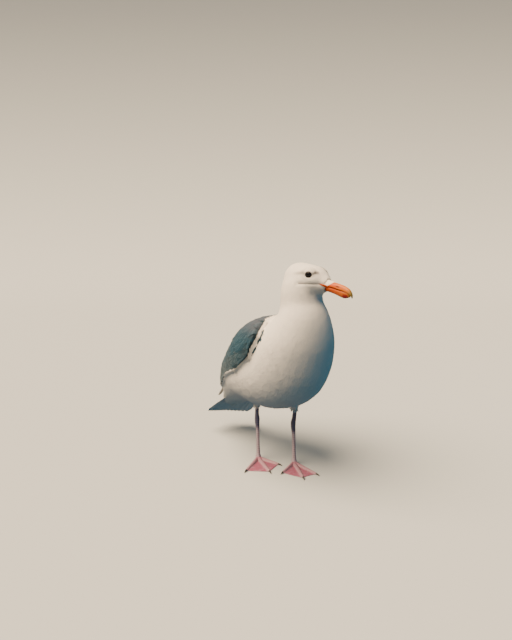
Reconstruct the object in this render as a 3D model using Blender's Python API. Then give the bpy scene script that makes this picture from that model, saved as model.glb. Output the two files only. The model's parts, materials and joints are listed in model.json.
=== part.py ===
"""Western gull, standing, life size: the solids of a still museum model.

Units are metres and +Z is up. The bird faces -Y and its own left is +X. Rows of sizes say how
far forward (towards -Y) and how high a place is. The body is lofted whole, from the rump to the
brow, and then parted with thin cuts into head, neck and trunk.
"""

import math

import bmesh
import bpy
from mathutils import Matrix, Vector

# ---------------------------------------------------------------- driving dimensions

GAP = 0.0003  # clearance left between neighbouring solids
BODY_SIDES = 28
BODY_SPANS = 4  # rings read between two rows of sizes
BODY_TRIANGLES = 2600
REMESH_VOXEL = 0.0032
EASE_FACTOR = 0.5
EASE_ROUNDS = 12
SHARP_ANGLE = 50.0  # degrees, above which an edge stays sharp

# Neck and trunk from the rump up: forward, height, half width, half depth, and how much
# further out the folded wing lies there.
SPINE = (
    (-0.184, 0.068, 0.012, 0.004, 0.005),
    (-0.168, 0.080, 0.030, 0.011, 0.005),
    (-0.132, 0.110, 0.047, 0.026, 0.006),
    (-0.092, 0.137, 0.063, 0.043, 0.0055),
    (-0.045, 0.161, 0.079, 0.0545, 0.0040),
    (0.010, 0.184, 0.0865, 0.0740, 0.0052),
    (0.049, 0.213, 0.0735, 0.0715, 0.0102),
    (0.0745, 0.245, 0.0615, 0.0555, 0.0125),
    (0.0840, 0.275, 0.0470, 0.0440, 0.0040),
    (0.0805, 0.298, 0.0355, 0.0360, 0.0),
    (0.078, 0.318, 0.033, 0.035, 0.0),
    (0.076, 0.334, 0.029, 0.033, 0.0),
    (0.074, 0.346, 0.020, 0.025, 0.0),
    (0.073, 0.353, 0.008, 0.011, 0.0),
)

# The head's frame lies on the line of the gape, under the eyes: its place, turn and dip.
HEAD_AT = (0.0120, -0.1028, 0.3352)
HEAD_TURN = 19.0  # degrees to the bird's left
HEAD_DIP = 11.0  # degrees down
# The skull in that frame, nape to brow: forward, height, half width, up, down.
SKULL = (
    (-0.0575, -0.003, 0.0040, 0.0040, 0.0040),
    (-0.0530, -0.002, 0.0175, 0.0165, 0.0170),
    (-0.0400, 0.000, 0.0252, 0.0233, 0.0260),
    (-0.0205, 0.0005, 0.0278, 0.0245, 0.0290),
    (-0.0010, 0.0015, 0.0262, 0.0230, 0.0260),
    (0.0118, 0.0015, 0.0205, 0.0182, 0.0190),
    (0.0207, 0.001, 0.0125, 0.0122, 0.0135),
    (0.0262, 0.000, 0.0080, 0.0086, 0.0094),
    (0.0300, -0.0005, 0.0030, 0.0040, 0.0040),
)
SKULL_SIDES = 24
SKULL_SPANS = 3
EYE_AT = (-0.0028, 0.0160, 0.0118)  # forward, out, up in the head's frame
EYEBALL_RADIUS = 0.0075
EYEBALL_SEGMENTS = 14
# The two thin cuts, each as a place (forward, height, x) and the way up across it.
NECK_CUT = ((0.074, 0.258, 0.0), (0.12, 0.99, 0.0))
HEAD_CUT = ((0.082, 0.309, 0.006), (-0.16, 0.985, 0.0))

# The bill in the head's frame: forward, ridge, edge of the gape, half width.
BILL_UPPER = (
    (0.0140, 0.0078, -0.0008, 0.0074),
    (0.0260, 0.0076, -0.0006, 0.0068),
    (0.0380, 0.0074, -0.0008, 0.0056),
    (0.0500, 0.0070, -0.0012, 0.0048),
    (0.0590, 0.0050, -0.0020, 0.0042),
    (0.0652, 0.0020, -0.0036, 0.0034),
    (0.0690, -0.0028, -0.0070, 0.0022),
    (0.0699, -0.0068, -0.0094, 0.0010),
)
BILL_LOWER = (
    (0.0140, -0.0088, -0.0013, 0.0068),
    (0.0260, -0.0090, -0.0011, 0.0060),
    (0.0380, -0.0095, -0.0013, 0.0049),
    (0.0480, -0.0112, -0.0017, 0.0043),
    (0.0560, -0.0119, -0.0023, 0.0039),
    (0.0620, -0.0096, -0.0034, 0.0030),
    (0.0664, -0.0074, -0.0052, 0.0014),
)
BILL_SIDES = 8
BILL_SPANS = 2
BILL_FULLNESS = 0.8  # below 1 the section is squarer than an oval

# The folded wing from the side: forward, height. It is cut out of a fuller body.
WING_DEPTH = 0.0095  # how much fuller that body is upwards
WING_FULLNESS = 0.72  # below 1 its back is flatter, with squarer shoulders
WING_REACH = 0.2
WING_SPANS = 2
FADE_FROM = 0.236  # the fuller body shrinks to the plain one above this height
FADE_OVER = 0.050
WING_OUTLINE = (
    (0.022, 0.279),
    (0.044, 0.271),
    (0.056, 0.250),
    (0.047, 0.214),
    (0.020, 0.188),
    (-0.040, 0.163),
    (-0.105, 0.132),
    (-0.150, 0.114),
    (-0.200, 0.112),
    (-0.168, 0.160),
    (-0.112, 0.210),
    (-0.050, 0.251),
    (-0.005, 0.272),
)
# Blades of the folded wing: forward, out, height, half thickness, half depth. The tertials
# are the rear of the wing itself, and the long primaries come out from under them.
BLADE_LEAN = 30.0  # degrees, the upper edge nearer the middle
BLADE_SIDES = 10
TERTIALS = (
    (0.010, 0.068, 0.216, 0.0080, 0.030),
    (-0.050, 0.062, 0.190, 0.0105, 0.040),
    (-0.100, 0.049, 0.163, 0.0095, 0.036),
    (-0.142, 0.034, 0.138, 0.0070, 0.026),
    (-0.172, 0.0235, 0.119, 0.0042, 0.015),
    (-0.188, 0.0180, 0.109, 0.0016, 0.006),
)
PRIMARIES = (
    (-0.090, 0.0460, 0.164, 0.0060, 0.028),
    (-0.130, 0.0330, 0.143, 0.0052, 0.025),
    (-0.170, 0.0220, 0.120, 0.0040, 0.018),
    (-0.205, 0.0140, 0.100, 0.0028, 0.012),
    (-0.238, 0.0090, 0.082, 0.0016, 0.007),
    (-0.258, 0.0065, 0.071, 0.0008, 0.003),
)

# The tail fan: forward and height of its root and tip, and its half widths there.
TAIL_ROOT = (-0.100, 0.118)
TAIL_TIP = (-0.230, 0.036)
TAIL_HALF_WIDTHS = (0.026, 0.050)
TAIL_SPREAD = 0.8  # below 1 the fan widens sooner
TAIL_ROUNDING = 0.014
TAIL_DROOP = 0.003  # how much lower its sides are than its middle
TAIL_ROLL = 9.0  # degrees, the left side lower
TAIL_THICKNESS = 0.0034
TAIL_STATIONS = (0.0, 0.25, 0.5, 0.75, 1.0)
TAIL_STEPS = 8

# Each leg: where the toe joint stands and which way its toes point, in degrees towards +X.
LEGS = {
    "right": {"x": -0.0180, "forward": -0.038, "middle": -8.0, "outer": -48.0, "inner": 27.0},
    "left": {"x": 0.0298, "forward": 0.011, "middle": -16.0, "outer": 11.0, "inner": -56.0},
}
SIDE = {"right": -1.0, "left": 1.0}
# Leg stations above the toe joint: back, out, height, half width, half depth.
SHANK = (
    (0.000, 0.000, 0.0080, 0.0042, 0.0050),
    (0.000, 0.000, 0.0150, 0.0036, 0.0042),
    (0.001, 0.000, 0.0300, 0.0032, 0.0038),
    (0.002, 0.000, 0.0560, 0.0033, 0.0040),
    (0.004, 0.000, 0.0690, 0.0042, 0.0052),
    (0.004, 0.000, 0.0770, 0.0046, 0.0056),
    (0.003, 0.001, 0.0850, 0.0038, 0.0046),
    (0.001, 0.002, 0.1030, 0.0034, 0.0042),
)
THIGH = (
    (0.001, 0.002, 0.0975, 0.0048, 0.0058),
    (0.001, 0.002, 0.1050, 0.0060, 0.0072),
    (0.002, 0.003, 0.1140, 0.0084, 0.0102),
    (0.005, 0.004, 0.1260, 0.0120, 0.0145),
    (0.010, 0.006, 0.1380, 0.0150, 0.0175),
)
SHANK_SIDES = 10
THIGH_SIDES = 14
TOE_LENGTHS = {"middle": 0.062, "outer": 0.059, "inner": 0.046}
TOE_RADIUS = 0.0038
TOE_TIP_RADIUS = 0.0022
TOE_DROP = 0.0008
TOE_AXIS = 0.0027  # height of a toe's axis at its root
TOE_SIDES = 8
TOE_STATIONS = (0.0, 0.3, 0.55, 0.8, 0.94, 1.0)
TOE_END = 0.55  # the last ring, against the one a plain taper gives
WEB_THICKNESS = 0.0012
WEB_BACK = 0.0034  # how far behind the joint the web starts
WEB_STEPS = 4
WEB_SCALLOP = 0.06  # how deeply the web's front edge curves back, against its distance out
WEB_SHARE = 0.96  # how far along the toes the web reaches
KNUCKLE_RADIUS = 0.0056
KNUCKLE_HEIGHT = 0.0060
KNUCKLE_SEGMENTS = 10
# The small back toe: length, height of its root, radii, drop to its tip.
HALLUX_LENGTH = 0.010
HALLUX_HEIGHT = 0.0090
HALLUX_RADIUS = 0.0026
HALLUX_TIP_RADIUS = 0.0018
HALLUX_DROP = 0.0035
# Claws: length, root radius, how far back from the toe's tip they start, and their height.
CLAW_LENGTH = 0.0090
CLAW_RADIUS = 0.0017
CLAW_SET_BACK = 0.0015
CLAW_HEIGHT = 0.0025
HALLUX_CLAW_LENGTH = 0.0050
HALLUX_CLAW_RADIUS = 0.0011
HALLUX_CLAW_SET_BACK = 0.0010
HALLUX_CLAW_HEIGHT = 0.0056
CLAW_STATIONS = ((-0.25, 0.9), (0.2, 1.0), (0.65, 0.62), (1.0, 0.16))  # along, thickness
CLAW_SIDES = 8
CLAW_HOOK = 0.9  # how far the point dips, against the claw's radius

COLOURS = {
    "white_plumage": (0.86, 0.84, 0.80),
    "grey_plumage": (0.10, 0.15, 0.19),
    "black_plumage": (0.02, 0.022, 0.026),
    "bill": (0.86, 0.36, 0.06),
    "leg_skin": (0.80, 0.42, 0.40),
    "claw": (0.03, 0.026, 0.024),
    "eye": (0.05, 0.03, 0.02),
}
ROUGHNESS = {"eye": 0.08, "bill": 0.38, "claw": 0.45, "leg_skin": 0.55}
PLUMAGE_ROUGHNESS = 0.85


# ---------------------------------------------------------------- helpers


def clear_scene():
    for obj in list(bpy.data.objects):
        bpy.data.objects.remove(obj)


def place(forward, height, x=0.0):
    return Vector((x, -forward, height))


def material(name):
    found = bpy.data.materials.get(name)
    if found:
        return found
    made = bpy.data.materials.new(name)
    made.use_nodes = True
    shader = made.node_tree.nodes["Principled BSDF"]
    shader.inputs["Base Color"].default_value = (*COLOURS[name], 1.0)
    shader.inputs["Roughness"].default_value = ROUGHNESS.get(name, PLUMAGE_ROUGHNESS)
    shader.inputs["Metallic"].default_value = 0.0
    return made


def new_object(name, bm, finish=None):
    bmesh.ops.recalc_face_normals(bm, faces=bm.faces)
    mesh = bpy.data.meshes.new(name)
    bm.to_mesh(mesh)
    bm.free()
    obj = bpy.data.objects.new(name, mesh)
    bpy.context.scene.collection.objects.link(obj)
    if finish:
        mesh.materials.append(material(finish))
    return obj


def remove(*objs):
    for obj in objs:
        bpy.data.objects.remove(obj)


def catmull(rows, spans):
    """Rows of numbers read from a smooth curve through the given rows."""
    read = []
    for i in range(len(rows) - 1):
        before = rows[max(i - 1, 0)]
        after = rows[min(i + 2, len(rows) - 1)]
        for step in range(spans):
            t = step / spans
            read.append(tuple(
                b + 0.5 * t * (c - a + t * (2 * a - 5 * b + 4 * c - d + t * (3 * (b - c) + d - a)))
                for a, b, c, d in zip(before, rows[i], rows[i + 1], after)
            ))
    read.append(tuple(rows[-1]))
    return read


def oval(centre, across, up, half_width, half_up, half_down, sides, fullness=1.0):
    """A ring that may be deeper below its centre. Above it, a fullness below 1 is squarer."""
    points = []
    for k in range(sides):
        turn = 2 * math.pi * k / sides
        out = math.cos(turn)
        rise = math.sin(turn)
        if rise > 0:
            out = math.copysign(abs(out) ** fullness, out)
            rise **= fullness
        reach = half_up if rise > 0 else half_down
        points.append(centre + across * (half_width * out) + up * (reach * rise))
    return points


def loft(rings):
    """A closed skin over rings of points, bridged one to the next and capped."""
    bm = bmesh.new()
    loops = []
    for ring in rings:
        verts = [bm.verts.new(point) for point in ring]
        loops.append([bm.edges.new((verts[k - 1], verts[k])) for k in range(len(verts))])
    for near, far in zip(loops, loops[1:]):
        bmesh.ops.bridge_loops(bm, edges=near + far)
    bmesh.ops.contextual_create(bm, geom=loops[0])
    bmesh.ops.contextual_create(bm, geom=loops[-1])
    return bm


def apply_modifiers(obj):
    graph = bpy.context.evaluated_depsgraph_get()
    mesh = bpy.data.meshes.new_from_object(obj.evaluated_get(graph))
    obj.modifiers.clear()
    obj.data = mesh
    return obj


def boolean(obj, other, operation):
    cut = obj.modifiers.new(operation.title(), "BOOLEAN")
    cut.operation = operation
    cut.solver = "EXACT"
    cut.use_self = True
    cut.object = other
    return apply_modifiers(obj)


def copy_of(obj, name, finish=None):
    copy = bpy.data.objects.new(name, obj.data.copy())
    bpy.context.scene.collection.objects.link(copy)
    if finish:
        copy.data.materials.clear()
        copy.data.materials.append(material(finish))
    return copy


def cut_clear(obj, *neighbours):
    """Cut neighbours out of a solid, grown along their normals by the gap."""
    for neighbour in neighbours:
        grown = copy_of(neighbour, "cutter")
        grow = grown.modifiers.new("Grow", "DISPLACE")
        grow.strength = GAP
        grow.mid_level = 0.0
        apply_modifiers(grown)
        boolean(obj, grown, "DIFFERENCE")
        remove(grown)
    return obj


def keep_side(obj, point, outward):
    """Cut a solid with a plane, drop what lies on the outward side and close the cut."""
    bm = bmesh.new()
    bm.from_mesh(obj.data)
    geom = bm.verts[:] + bm.edges[:] + bm.faces[:]
    bmesh.ops.bisect_plane(
        bm, geom=geom, dist=1e-7, plane_co=point, plane_no=outward, clear_outer=True
    )
    open_edges = [edge for edge in bm.edges if edge.is_boundary]
    bmesh.ops.contextual_create(bm, geom=open_edges)
    bmesh.ops.recalc_face_normals(bm, faces=bm.faces)
    bm.to_mesh(obj.data)
    bm.free()
    return obj


def smooth_shade(obj):
    obj.data.shade_smooth()
    obj.data.set_sharp_from_angle(angle=math.radians(SHARP_ANGLE))


# ---------------------------------------------------------------- head, neck and trunk

ACROSS = Vector((1, 0, 0))
BACKWARD = Vector((0, 1, 0))
UP = Vector((0, 0, 1))


def spine_rings(deeper=0.0, spans=BODY_SPANS):
    """Rings square to the spine. With the wings they are wider, and deeper below the neck."""
    rows = catmull(SPINE, spans)
    rings = []
    for i, (forward, height, half_width, half_depth, wing_out) in enumerate(rows):
        ahead = rows[min(i + 1, len(rows) - 1)]
        behind = rows[max(i - 1, 0)]
        along = place(ahead[0] - behind[0], ahead[1] - behind[1]).normalized()
        up = along.cross(ACROSS).normalized()
        fade = min(max((FADE_FROM + FADE_OVER - height) / FADE_OVER, 0.0), 1.0)
        wide = half_width + (wing_out if deeper else 0.0)
        deep = half_depth + deeper * fade
        full = WING_FULLNESS if deeper else 1.0
        centre = place(forward, height)
        rings.append(oval(centre, ACROSS, up, wide, deep, deep, BODY_SIDES, full))
    return rings


def head_matrix():
    turn = Matrix.Rotation(math.radians(HEAD_TURN), 4, "Z")
    dip = Matrix.Rotation(math.radians(HEAD_DIP), 4, "X")
    return Matrix.Translation(HEAD_AT) @ turn @ dip


def make_body():
    """The whole flesh and plumage as one smooth solid, neck into head."""
    body = new_object("body", loft(spine_rings()))
    rings = [
        oval(place(forward, height), ACROSS, UP, half_width, half_up, half_down, SKULL_SIDES)
        for forward, height, half_width, half_up, half_down in catmull(SKULL, SKULL_SPANS)
    ]
    head = new_object("skull", loft(rings))
    head.data.transform(head_matrix())
    boolean(body, head, "UNION")
    remove(head)
    even = body.modifiers.new("Even", "REMESH")
    even.mode = "VOXEL"
    even.voxel_size = REMESH_VOXEL
    ease = body.modifiers.new("Ease", "SMOOTH")
    ease.factor = EASE_FACTOR
    ease.iterations = EASE_ROUNDS
    apply_modifiers(body)
    body.data.calc_loop_triangles()
    fewer = body.modifiers.new("Fewer", "DECIMATE")
    fewer.ratio = BODY_TRIANGLES / len(body.data.loop_triangles)
    return apply_modifiers(body)


def part_body(body):
    """Head, neck and trunk, with half the gap taken from each side of a cut."""
    pieces = [copy_of(body, name, "white_plumage") for name in ("head", "neck", "trunk")]
    head, neck, trunk = pieces
    for (at, way), above, below in ((HEAD_CUT, head, neck), (NECK_CUT, neck, trunk)):
        up = place(*way).normalized()
        keep_side(above, place(*at) + up * (GAP / 2), -up)
        keep_side(below, place(*at) - up * (GAP / 2), up)
    return pieces


# ---------------------------------------------------------------- bill and eyes


def bill_ring(forward, crest, edge, half_width):
    """Half an oval from one edge of the gape over the crest to the other edge."""
    points = []
    for k in range(BILL_SIDES + 1):
        turn = math.pi * k / BILL_SIDES
        height = edge + (crest - edge) * math.sin(turn) ** BILL_FULLNESS
        points.append(place(forward, height, half_width * math.cos(turn)))
    return points


def make_bill(name, rows):
    rings = [bill_ring(*row) for row in catmull(rows, BILL_SPANS)]
    bill = new_object(name, loft(rings), "bill")
    bill.data.transform(head_matrix())
    smooth_shade(bill)
    return bill


def make_eye(side):
    forward, out, up = EYE_AT
    bm = bmesh.new()
    bmesh.ops.create_uvsphere(
        bm,
        u_segments=EYEBALL_SEGMENTS,
        v_segments=EYEBALL_SEGMENTS // 2,
        radius=EYEBALL_RADIUS,
    )
    eye = new_object(f"eye_{side}", bm, "eye")
    at = place(forward, up, SIDE[side] * out)
    eye.data.transform(head_matrix() @ Matrix.Translation(at))
    smooth_shade(eye)
    return eye


# ---------------------------------------------------------------- wings and tail


def blade_loft(name, side, rows):
    """Leaning oval sections along a folded wing."""
    lean = Matrix.Rotation(math.radians(-SIDE[side] * BLADE_LEAN), 3, "Y")
    across = lean @ ACROSS
    up = lean @ UP
    rings = []
    for forward, out, height, thick, deep in rows:
        centre = place(forward, height, SIDE[side] * out)
        rings.append(oval(centre, across, up, thick, deep, deep, BLADE_SIDES))
    return new_object(name, loft(rings))


def make_wing_outline(side):
    """The wing's side outline, pushed out from the middle past the body's flank."""
    bm = bmesh.new()
    verts = [bm.verts.new(place(f, z, SIDE[side] * GAP / 2)) for f, z in WING_OUTLINE]
    face = bm.faces.new(verts)
    grown = bmesh.ops.extrude_face_region(bm, geom=[face])["geom"]
    far = [v for v in grown if isinstance(v, bmesh.types.BMVert)]
    bmesh.ops.translate(bm, verts=far, vec=ACROSS * SIDE[side] * WING_REACH)
    return new_object("outline", bm)


def make_wing(side, hull, body):
    """A shell of the fuller body inside the wing's side outline, with the tertials behind."""
    wing = copy_of(hull, f"wing_{side}", "grey_plumage")
    outline = make_wing_outline(side)
    tertials = blade_loft("tertials", side, TERTIALS)
    boolean(wing, outline, "INTERSECT")
    boolean(wing, tertials, "UNION")
    cut_clear(wing, body)
    primaries = blade_loft(f"primaries_{side}", side, PRIMARIES)
    primaries.data.materials.append(material("black_plumage"))
    cut_clear(primaries, hull, tertials)
    remove(outline, tertials)
    return [wing, primaries]


def make_tail(body):
    """A fan of even thickness, arched from side to side, with a rounded end."""
    root = place(*TAIL_ROOT)
    along = place(*TAIL_TIP) - root
    back = along.normalized()
    across = Matrix.Rotation(math.radians(TAIL_ROLL), 3, back) @ ACROSS
    normal = back.cross(across) * (TAIL_THICKNESS / 2)
    rings = []
    narrow, wide = TAIL_HALF_WIDTHS
    for t in TAIL_STATIONS:
        half_width = narrow + (wide - narrow) * t**TAIL_SPREAD
        line = []
        for k in range(TAIL_STEPS + 1):
            out = -1 + 2 * k / TAIL_STEPS
            point = root + along * t + across * (half_width * out)
            point -= back * (TAIL_ROUNDING * t * out**2) + UP * (TAIL_DROOP * t * out**2)
            line.append(point)
        rings.append([p + normal for p in line] + [p - normal for p in reversed(line)])
    tail = new_object("tail", loft(rings), "white_plumage")
    return cut_clear(tail, body)


# ---------------------------------------------------------------- legs and feet


def leg_loft(name, side, rows, finish, sides):
    at = LEGS[side]
    rings = []
    for back, out, height, half_width, half_depth in rows:
        centre = place(at["forward"] - back, height, at["x"] + SIDE[side] * out)
        rings.append(oval(centre, ACROSS, BACKWARD, half_width, half_depth, half_depth, sides))
    return new_object(name, loft(rings), finish)


def toe_direction(degrees):
    turn = math.radians(degrees)
    return Vector((math.sin(turn), -math.cos(turn), 0))


def toe_solid(start, direction, length, radius, tip_radius, drop):
    """A toe that tapers towards its tip while its axis drops."""
    across = direction.cross(UP).normalized()
    rings = []
    for t in TOE_STATIONS:
        size = radius + (tip_radius - radius) * t
        size *= TOE_END if t == 1.0 else 1.0
        centre = start + direction * (length * t) - UP * (drop * t)
        rings.append(oval(centre, across, UP, size, size, size, TOE_SIDES))
    return new_object("toe", loft(rings))


def web_solid(joint, directions):
    """The web's plate: between two toes its front edge is scalloped."""
    bm = bmesh.new()
    verts = [bm.verts.new(joint - toe_direction(directions[1][0]) * WEB_BACK)]
    for (angle, reach), (next_angle, next_reach) in zip(directions, directions[1:]):
        for k in range(WEB_STEPS + 1):
            t = k / WEB_STEPS
            dip = 1 - WEB_SCALLOP * math.sin(math.pi * t)
            radius = (reach + (next_reach - reach) * t) * dip
            turn = angle + (next_angle - angle) * t
            verts.append(bm.verts.new(joint + toe_direction(turn) * radius))
    bmesh.ops.remove_doubles(bm, verts=verts, dist=1e-5)
    face = bm.faces.new([v for v in verts if v.is_valid])
    grown = bmesh.ops.extrude_face_region(bm, geom=[face])["geom"]
    top = [v for v in grown if isinstance(v, bmesh.types.BMVert)]
    bmesh.ops.translate(bm, verts=top, vec=UP * WEB_THICKNESS)
    return new_object("web", bm)


def make_knuckle(joint):
    bm = bmesh.new()
    bmesh.ops.create_uvsphere(
        bm,
        u_segments=KNUCKLE_SEGMENTS,
        v_segments=KNUCKLE_SEGMENTS // 2,
        radius=KNUCKLE_RADIUS,
        matrix=Matrix.Translation(joint + UP * KNUCKLE_HEIGHT),
    )
    return new_object("knuckle", bm)


def make_hallux(joint, back):
    start = joint + UP * HALLUX_HEIGHT
    return toe_solid(
        start, back, HALLUX_LENGTH, HALLUX_RADIUS, HALLUX_TIP_RADIUS, HALLUX_DROP
    )


def make_foot(side):
    """Web, three toes, knuckle and back toe in one solid, cut flat at the floor."""
    at = LEGS[side]
    joint = place(at["forward"], 0.0, at["x"])
    toes = sorted((at[toe], TOE_LENGTHS[toe]) for toe in TOE_LENGTHS)
    foot = web_solid(joint, [(angle, length * WEB_SHARE) for angle, length in toes])
    foot.name = f"foot_{side}"
    start = joint + UP * TOE_AXIS
    added = [
        toe_solid(start, toe_direction(angle), length, TOE_RADIUS, TOE_TIP_RADIUS, TOE_DROP)
        for angle, length in toes
    ]
    added.append(make_knuckle(joint))
    added.append(make_hallux(joint, -toe_direction(at["middle"])))
    for piece in added:
        boolean(foot, piece, "UNION")
    remove(*added)
    keep_side(foot, Vector((0, 0, 0)), -UP)
    foot.data.materials.clear()
    foot.data.materials.append(material("leg_skin"))
    return foot


def claw_solid(name, tip_of_toe, direction, length, radius):
    """A short curved horn that starts inside the toe's end and dips towards its point."""
    across = direction.cross(UP).normalized()
    rings = []
    for t, share in CLAW_STATIONS:
        dip = radius * CLAW_HOOK * max(t, 0.0) ** 2
        centre = tip_of_toe + direction * (length * t) - UP * dip
        size = radius * share
        rings.append(oval(centre, across, UP, size, size, size, CLAW_SIDES))
    return new_object(name, loft(rings), "claw")


def make_claws(side, foot):
    at = LEGS[side]
    joint = place(at["forward"], 0.0, at["x"])
    claws = []
    for toe, length in TOE_LENGTHS.items():
        ahead = toe_direction(at[toe])
        tip = joint + ahead * (length - CLAW_SET_BACK) + UP * CLAW_HEIGHT
        claws.append(claw_solid(f"claw_{toe}_{side}", tip, ahead, CLAW_LENGTH, CLAW_RADIUS))
    back = -toe_direction(at["middle"])
    tip = joint + back * (HALLUX_LENGTH - HALLUX_CLAW_SET_BACK) + UP * HALLUX_CLAW_HEIGHT
    claws.append(
        claw_solid(f"claw_back_{side}", tip, back, HALLUX_CLAW_LENGTH, HALLUX_CLAW_RADIUS)
    )
    return [cut_clear(claw, foot) for claw in claws]


# ---------------------------------------------------------------- the whole bird


def centre_on_floor(pieces):
    """Move the bird sideways so that the origin is under the middle of its box."""
    xs = [v.co.x for piece in pieces for v in piece.data.vertices]
    ys = [v.co.y for piece in pieces for v in piece.data.vertices]
    shift = Vector((-(min(xs) + max(xs)) / 2, -(min(ys) + max(ys)) / 2, 0))
    for piece in pieces:
        piece.data.transform(Matrix.Translation(shift))


def main():
    """Make every piece; the whole body and hull only serve as cutters."""
    clear_scene()
    body = make_body()
    head, neck, trunk = part_body(body)
    bill_upper = make_bill("bill_upper", BILL_UPPER)
    bill_lower = make_bill("bill_lower", BILL_LOWER)
    eyes = [make_eye(side) for side in SIDE]
    cut_clear(head, bill_upper, bill_lower, *eyes)
    pieces = [head, neck, trunk, bill_upper, bill_lower, *eyes]
    hull = new_object("hull", loft(spine_rings(WING_DEPTH, WING_SPANS)))
    pieces.append(make_tail(body))
    for side in SIDE:
        pieces += make_wing(side, hull, body)
        foot = make_foot(side)
        shank = leg_loft(f"shank_{side}", side, SHANK, "leg_skin", SHANK_SIDES)
        cut_clear(shank, foot)
        thigh = leg_loft(f"thigh_{side}", side, THIGH, "white_plumage", THIGH_SIDES)
        cut_clear(thigh, shank, body)
        pieces += [foot, shank, thigh, *make_claws(side, foot)]
    remove(body, hull)
    centre_on_floor(pieces)


main()
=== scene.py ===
# %% [markdown]
# # A standing gull
# This notebook dresses a plain, life-size solid model of an adult gull. The solids give every
# piece its place, in metres, with the bird facing -Y and its own left at +X. Each step adds one
# piece or one finish: skin, plumage, flight feathers, bill, eyes, legs and claws.

# %% Load the frame
import json
import math

import bmesh
import bpy
import numpy as np
from mathutils import Matrix, Vector, noise
from mathutils.bvhtree import BVHTree
from mathutils.kdtree import KDTree

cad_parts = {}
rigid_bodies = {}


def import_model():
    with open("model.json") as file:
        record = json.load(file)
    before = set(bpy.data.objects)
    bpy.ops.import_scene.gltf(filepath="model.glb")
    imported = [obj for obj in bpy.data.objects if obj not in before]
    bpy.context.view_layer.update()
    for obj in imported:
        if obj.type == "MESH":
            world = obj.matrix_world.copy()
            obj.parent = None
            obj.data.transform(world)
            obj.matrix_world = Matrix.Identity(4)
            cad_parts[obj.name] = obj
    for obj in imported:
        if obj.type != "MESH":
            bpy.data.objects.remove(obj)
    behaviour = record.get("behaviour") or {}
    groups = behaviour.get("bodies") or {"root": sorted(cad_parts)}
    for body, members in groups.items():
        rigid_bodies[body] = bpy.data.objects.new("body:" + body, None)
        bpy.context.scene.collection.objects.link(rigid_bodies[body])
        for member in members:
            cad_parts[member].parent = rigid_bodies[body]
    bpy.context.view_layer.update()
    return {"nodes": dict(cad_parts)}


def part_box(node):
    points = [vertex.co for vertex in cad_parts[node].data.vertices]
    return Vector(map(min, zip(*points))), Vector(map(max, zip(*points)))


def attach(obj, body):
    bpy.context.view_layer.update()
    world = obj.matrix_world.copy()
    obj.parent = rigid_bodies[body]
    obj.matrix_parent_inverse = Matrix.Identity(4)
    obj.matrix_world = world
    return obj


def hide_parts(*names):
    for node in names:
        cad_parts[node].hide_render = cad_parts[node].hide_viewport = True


for leftover in list(bpy.data.objects):
    bpy.data.objects.remove(leftover)
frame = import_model()
random_numbers = np.random.default_rng(7)
SIDES = {"right": -1.0, "left": 1.0}

# %% [markdown]
# ## Camera, floor and light
# The camera stands a little under a metre away, in front of the bird's right shoulder and just
# above its head, looking slightly down. A plain pale floor curves up into a backdrop. The key light
# is soft and warm and comes from the upper left. A cool sky and fill light the other side, so that
# the white plumage turns blue-green in its shade.

# %% Camera
LONG_SIDE_MM = 36.0
CAMERA_LENS_MM = 29.35
CAMERA_AT = (-0.4341, -0.8329, 0.3853)
CAMERA_YAW = -26.503
CAMERA_PITCH = -7.70


def link(name, data):
    thing = bpy.data.objects.new(name, data)
    bpy.context.scene.collection.objects.link(thing)
    return thing


camera = link("camera", bpy.data.cameras.new("camera"))
camera.data.sensor_width = LONG_SIDE_MM
camera.data.lens = CAMERA_LENS_MM
camera.location = CAMERA_AT
camera.rotation_euler = (math.radians(90 + CAMERA_PITCH), 0.0, math.radians(CAMERA_YAW))
bpy.context.scene.camera = camera
print("camera height:", round(camera.location.z, 3))

# %% Material helpers


def new_material(name, colour, roughness, **sockets):
    """A Principled material; the extra sockets are named with underscores."""
    made = bpy.data.materials.new(name)
    made.use_nodes = True
    shader = made.node_tree.nodes["Principled BSDF"]
    shader.inputs["Base Color"].default_value = (*colour, 1.0)
    shader.inputs["Roughness"].default_value = roughness
    for socket, value in sockets.items():
        shader.inputs[socket.replace("_", " ")].default_value = value
    return made


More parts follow.
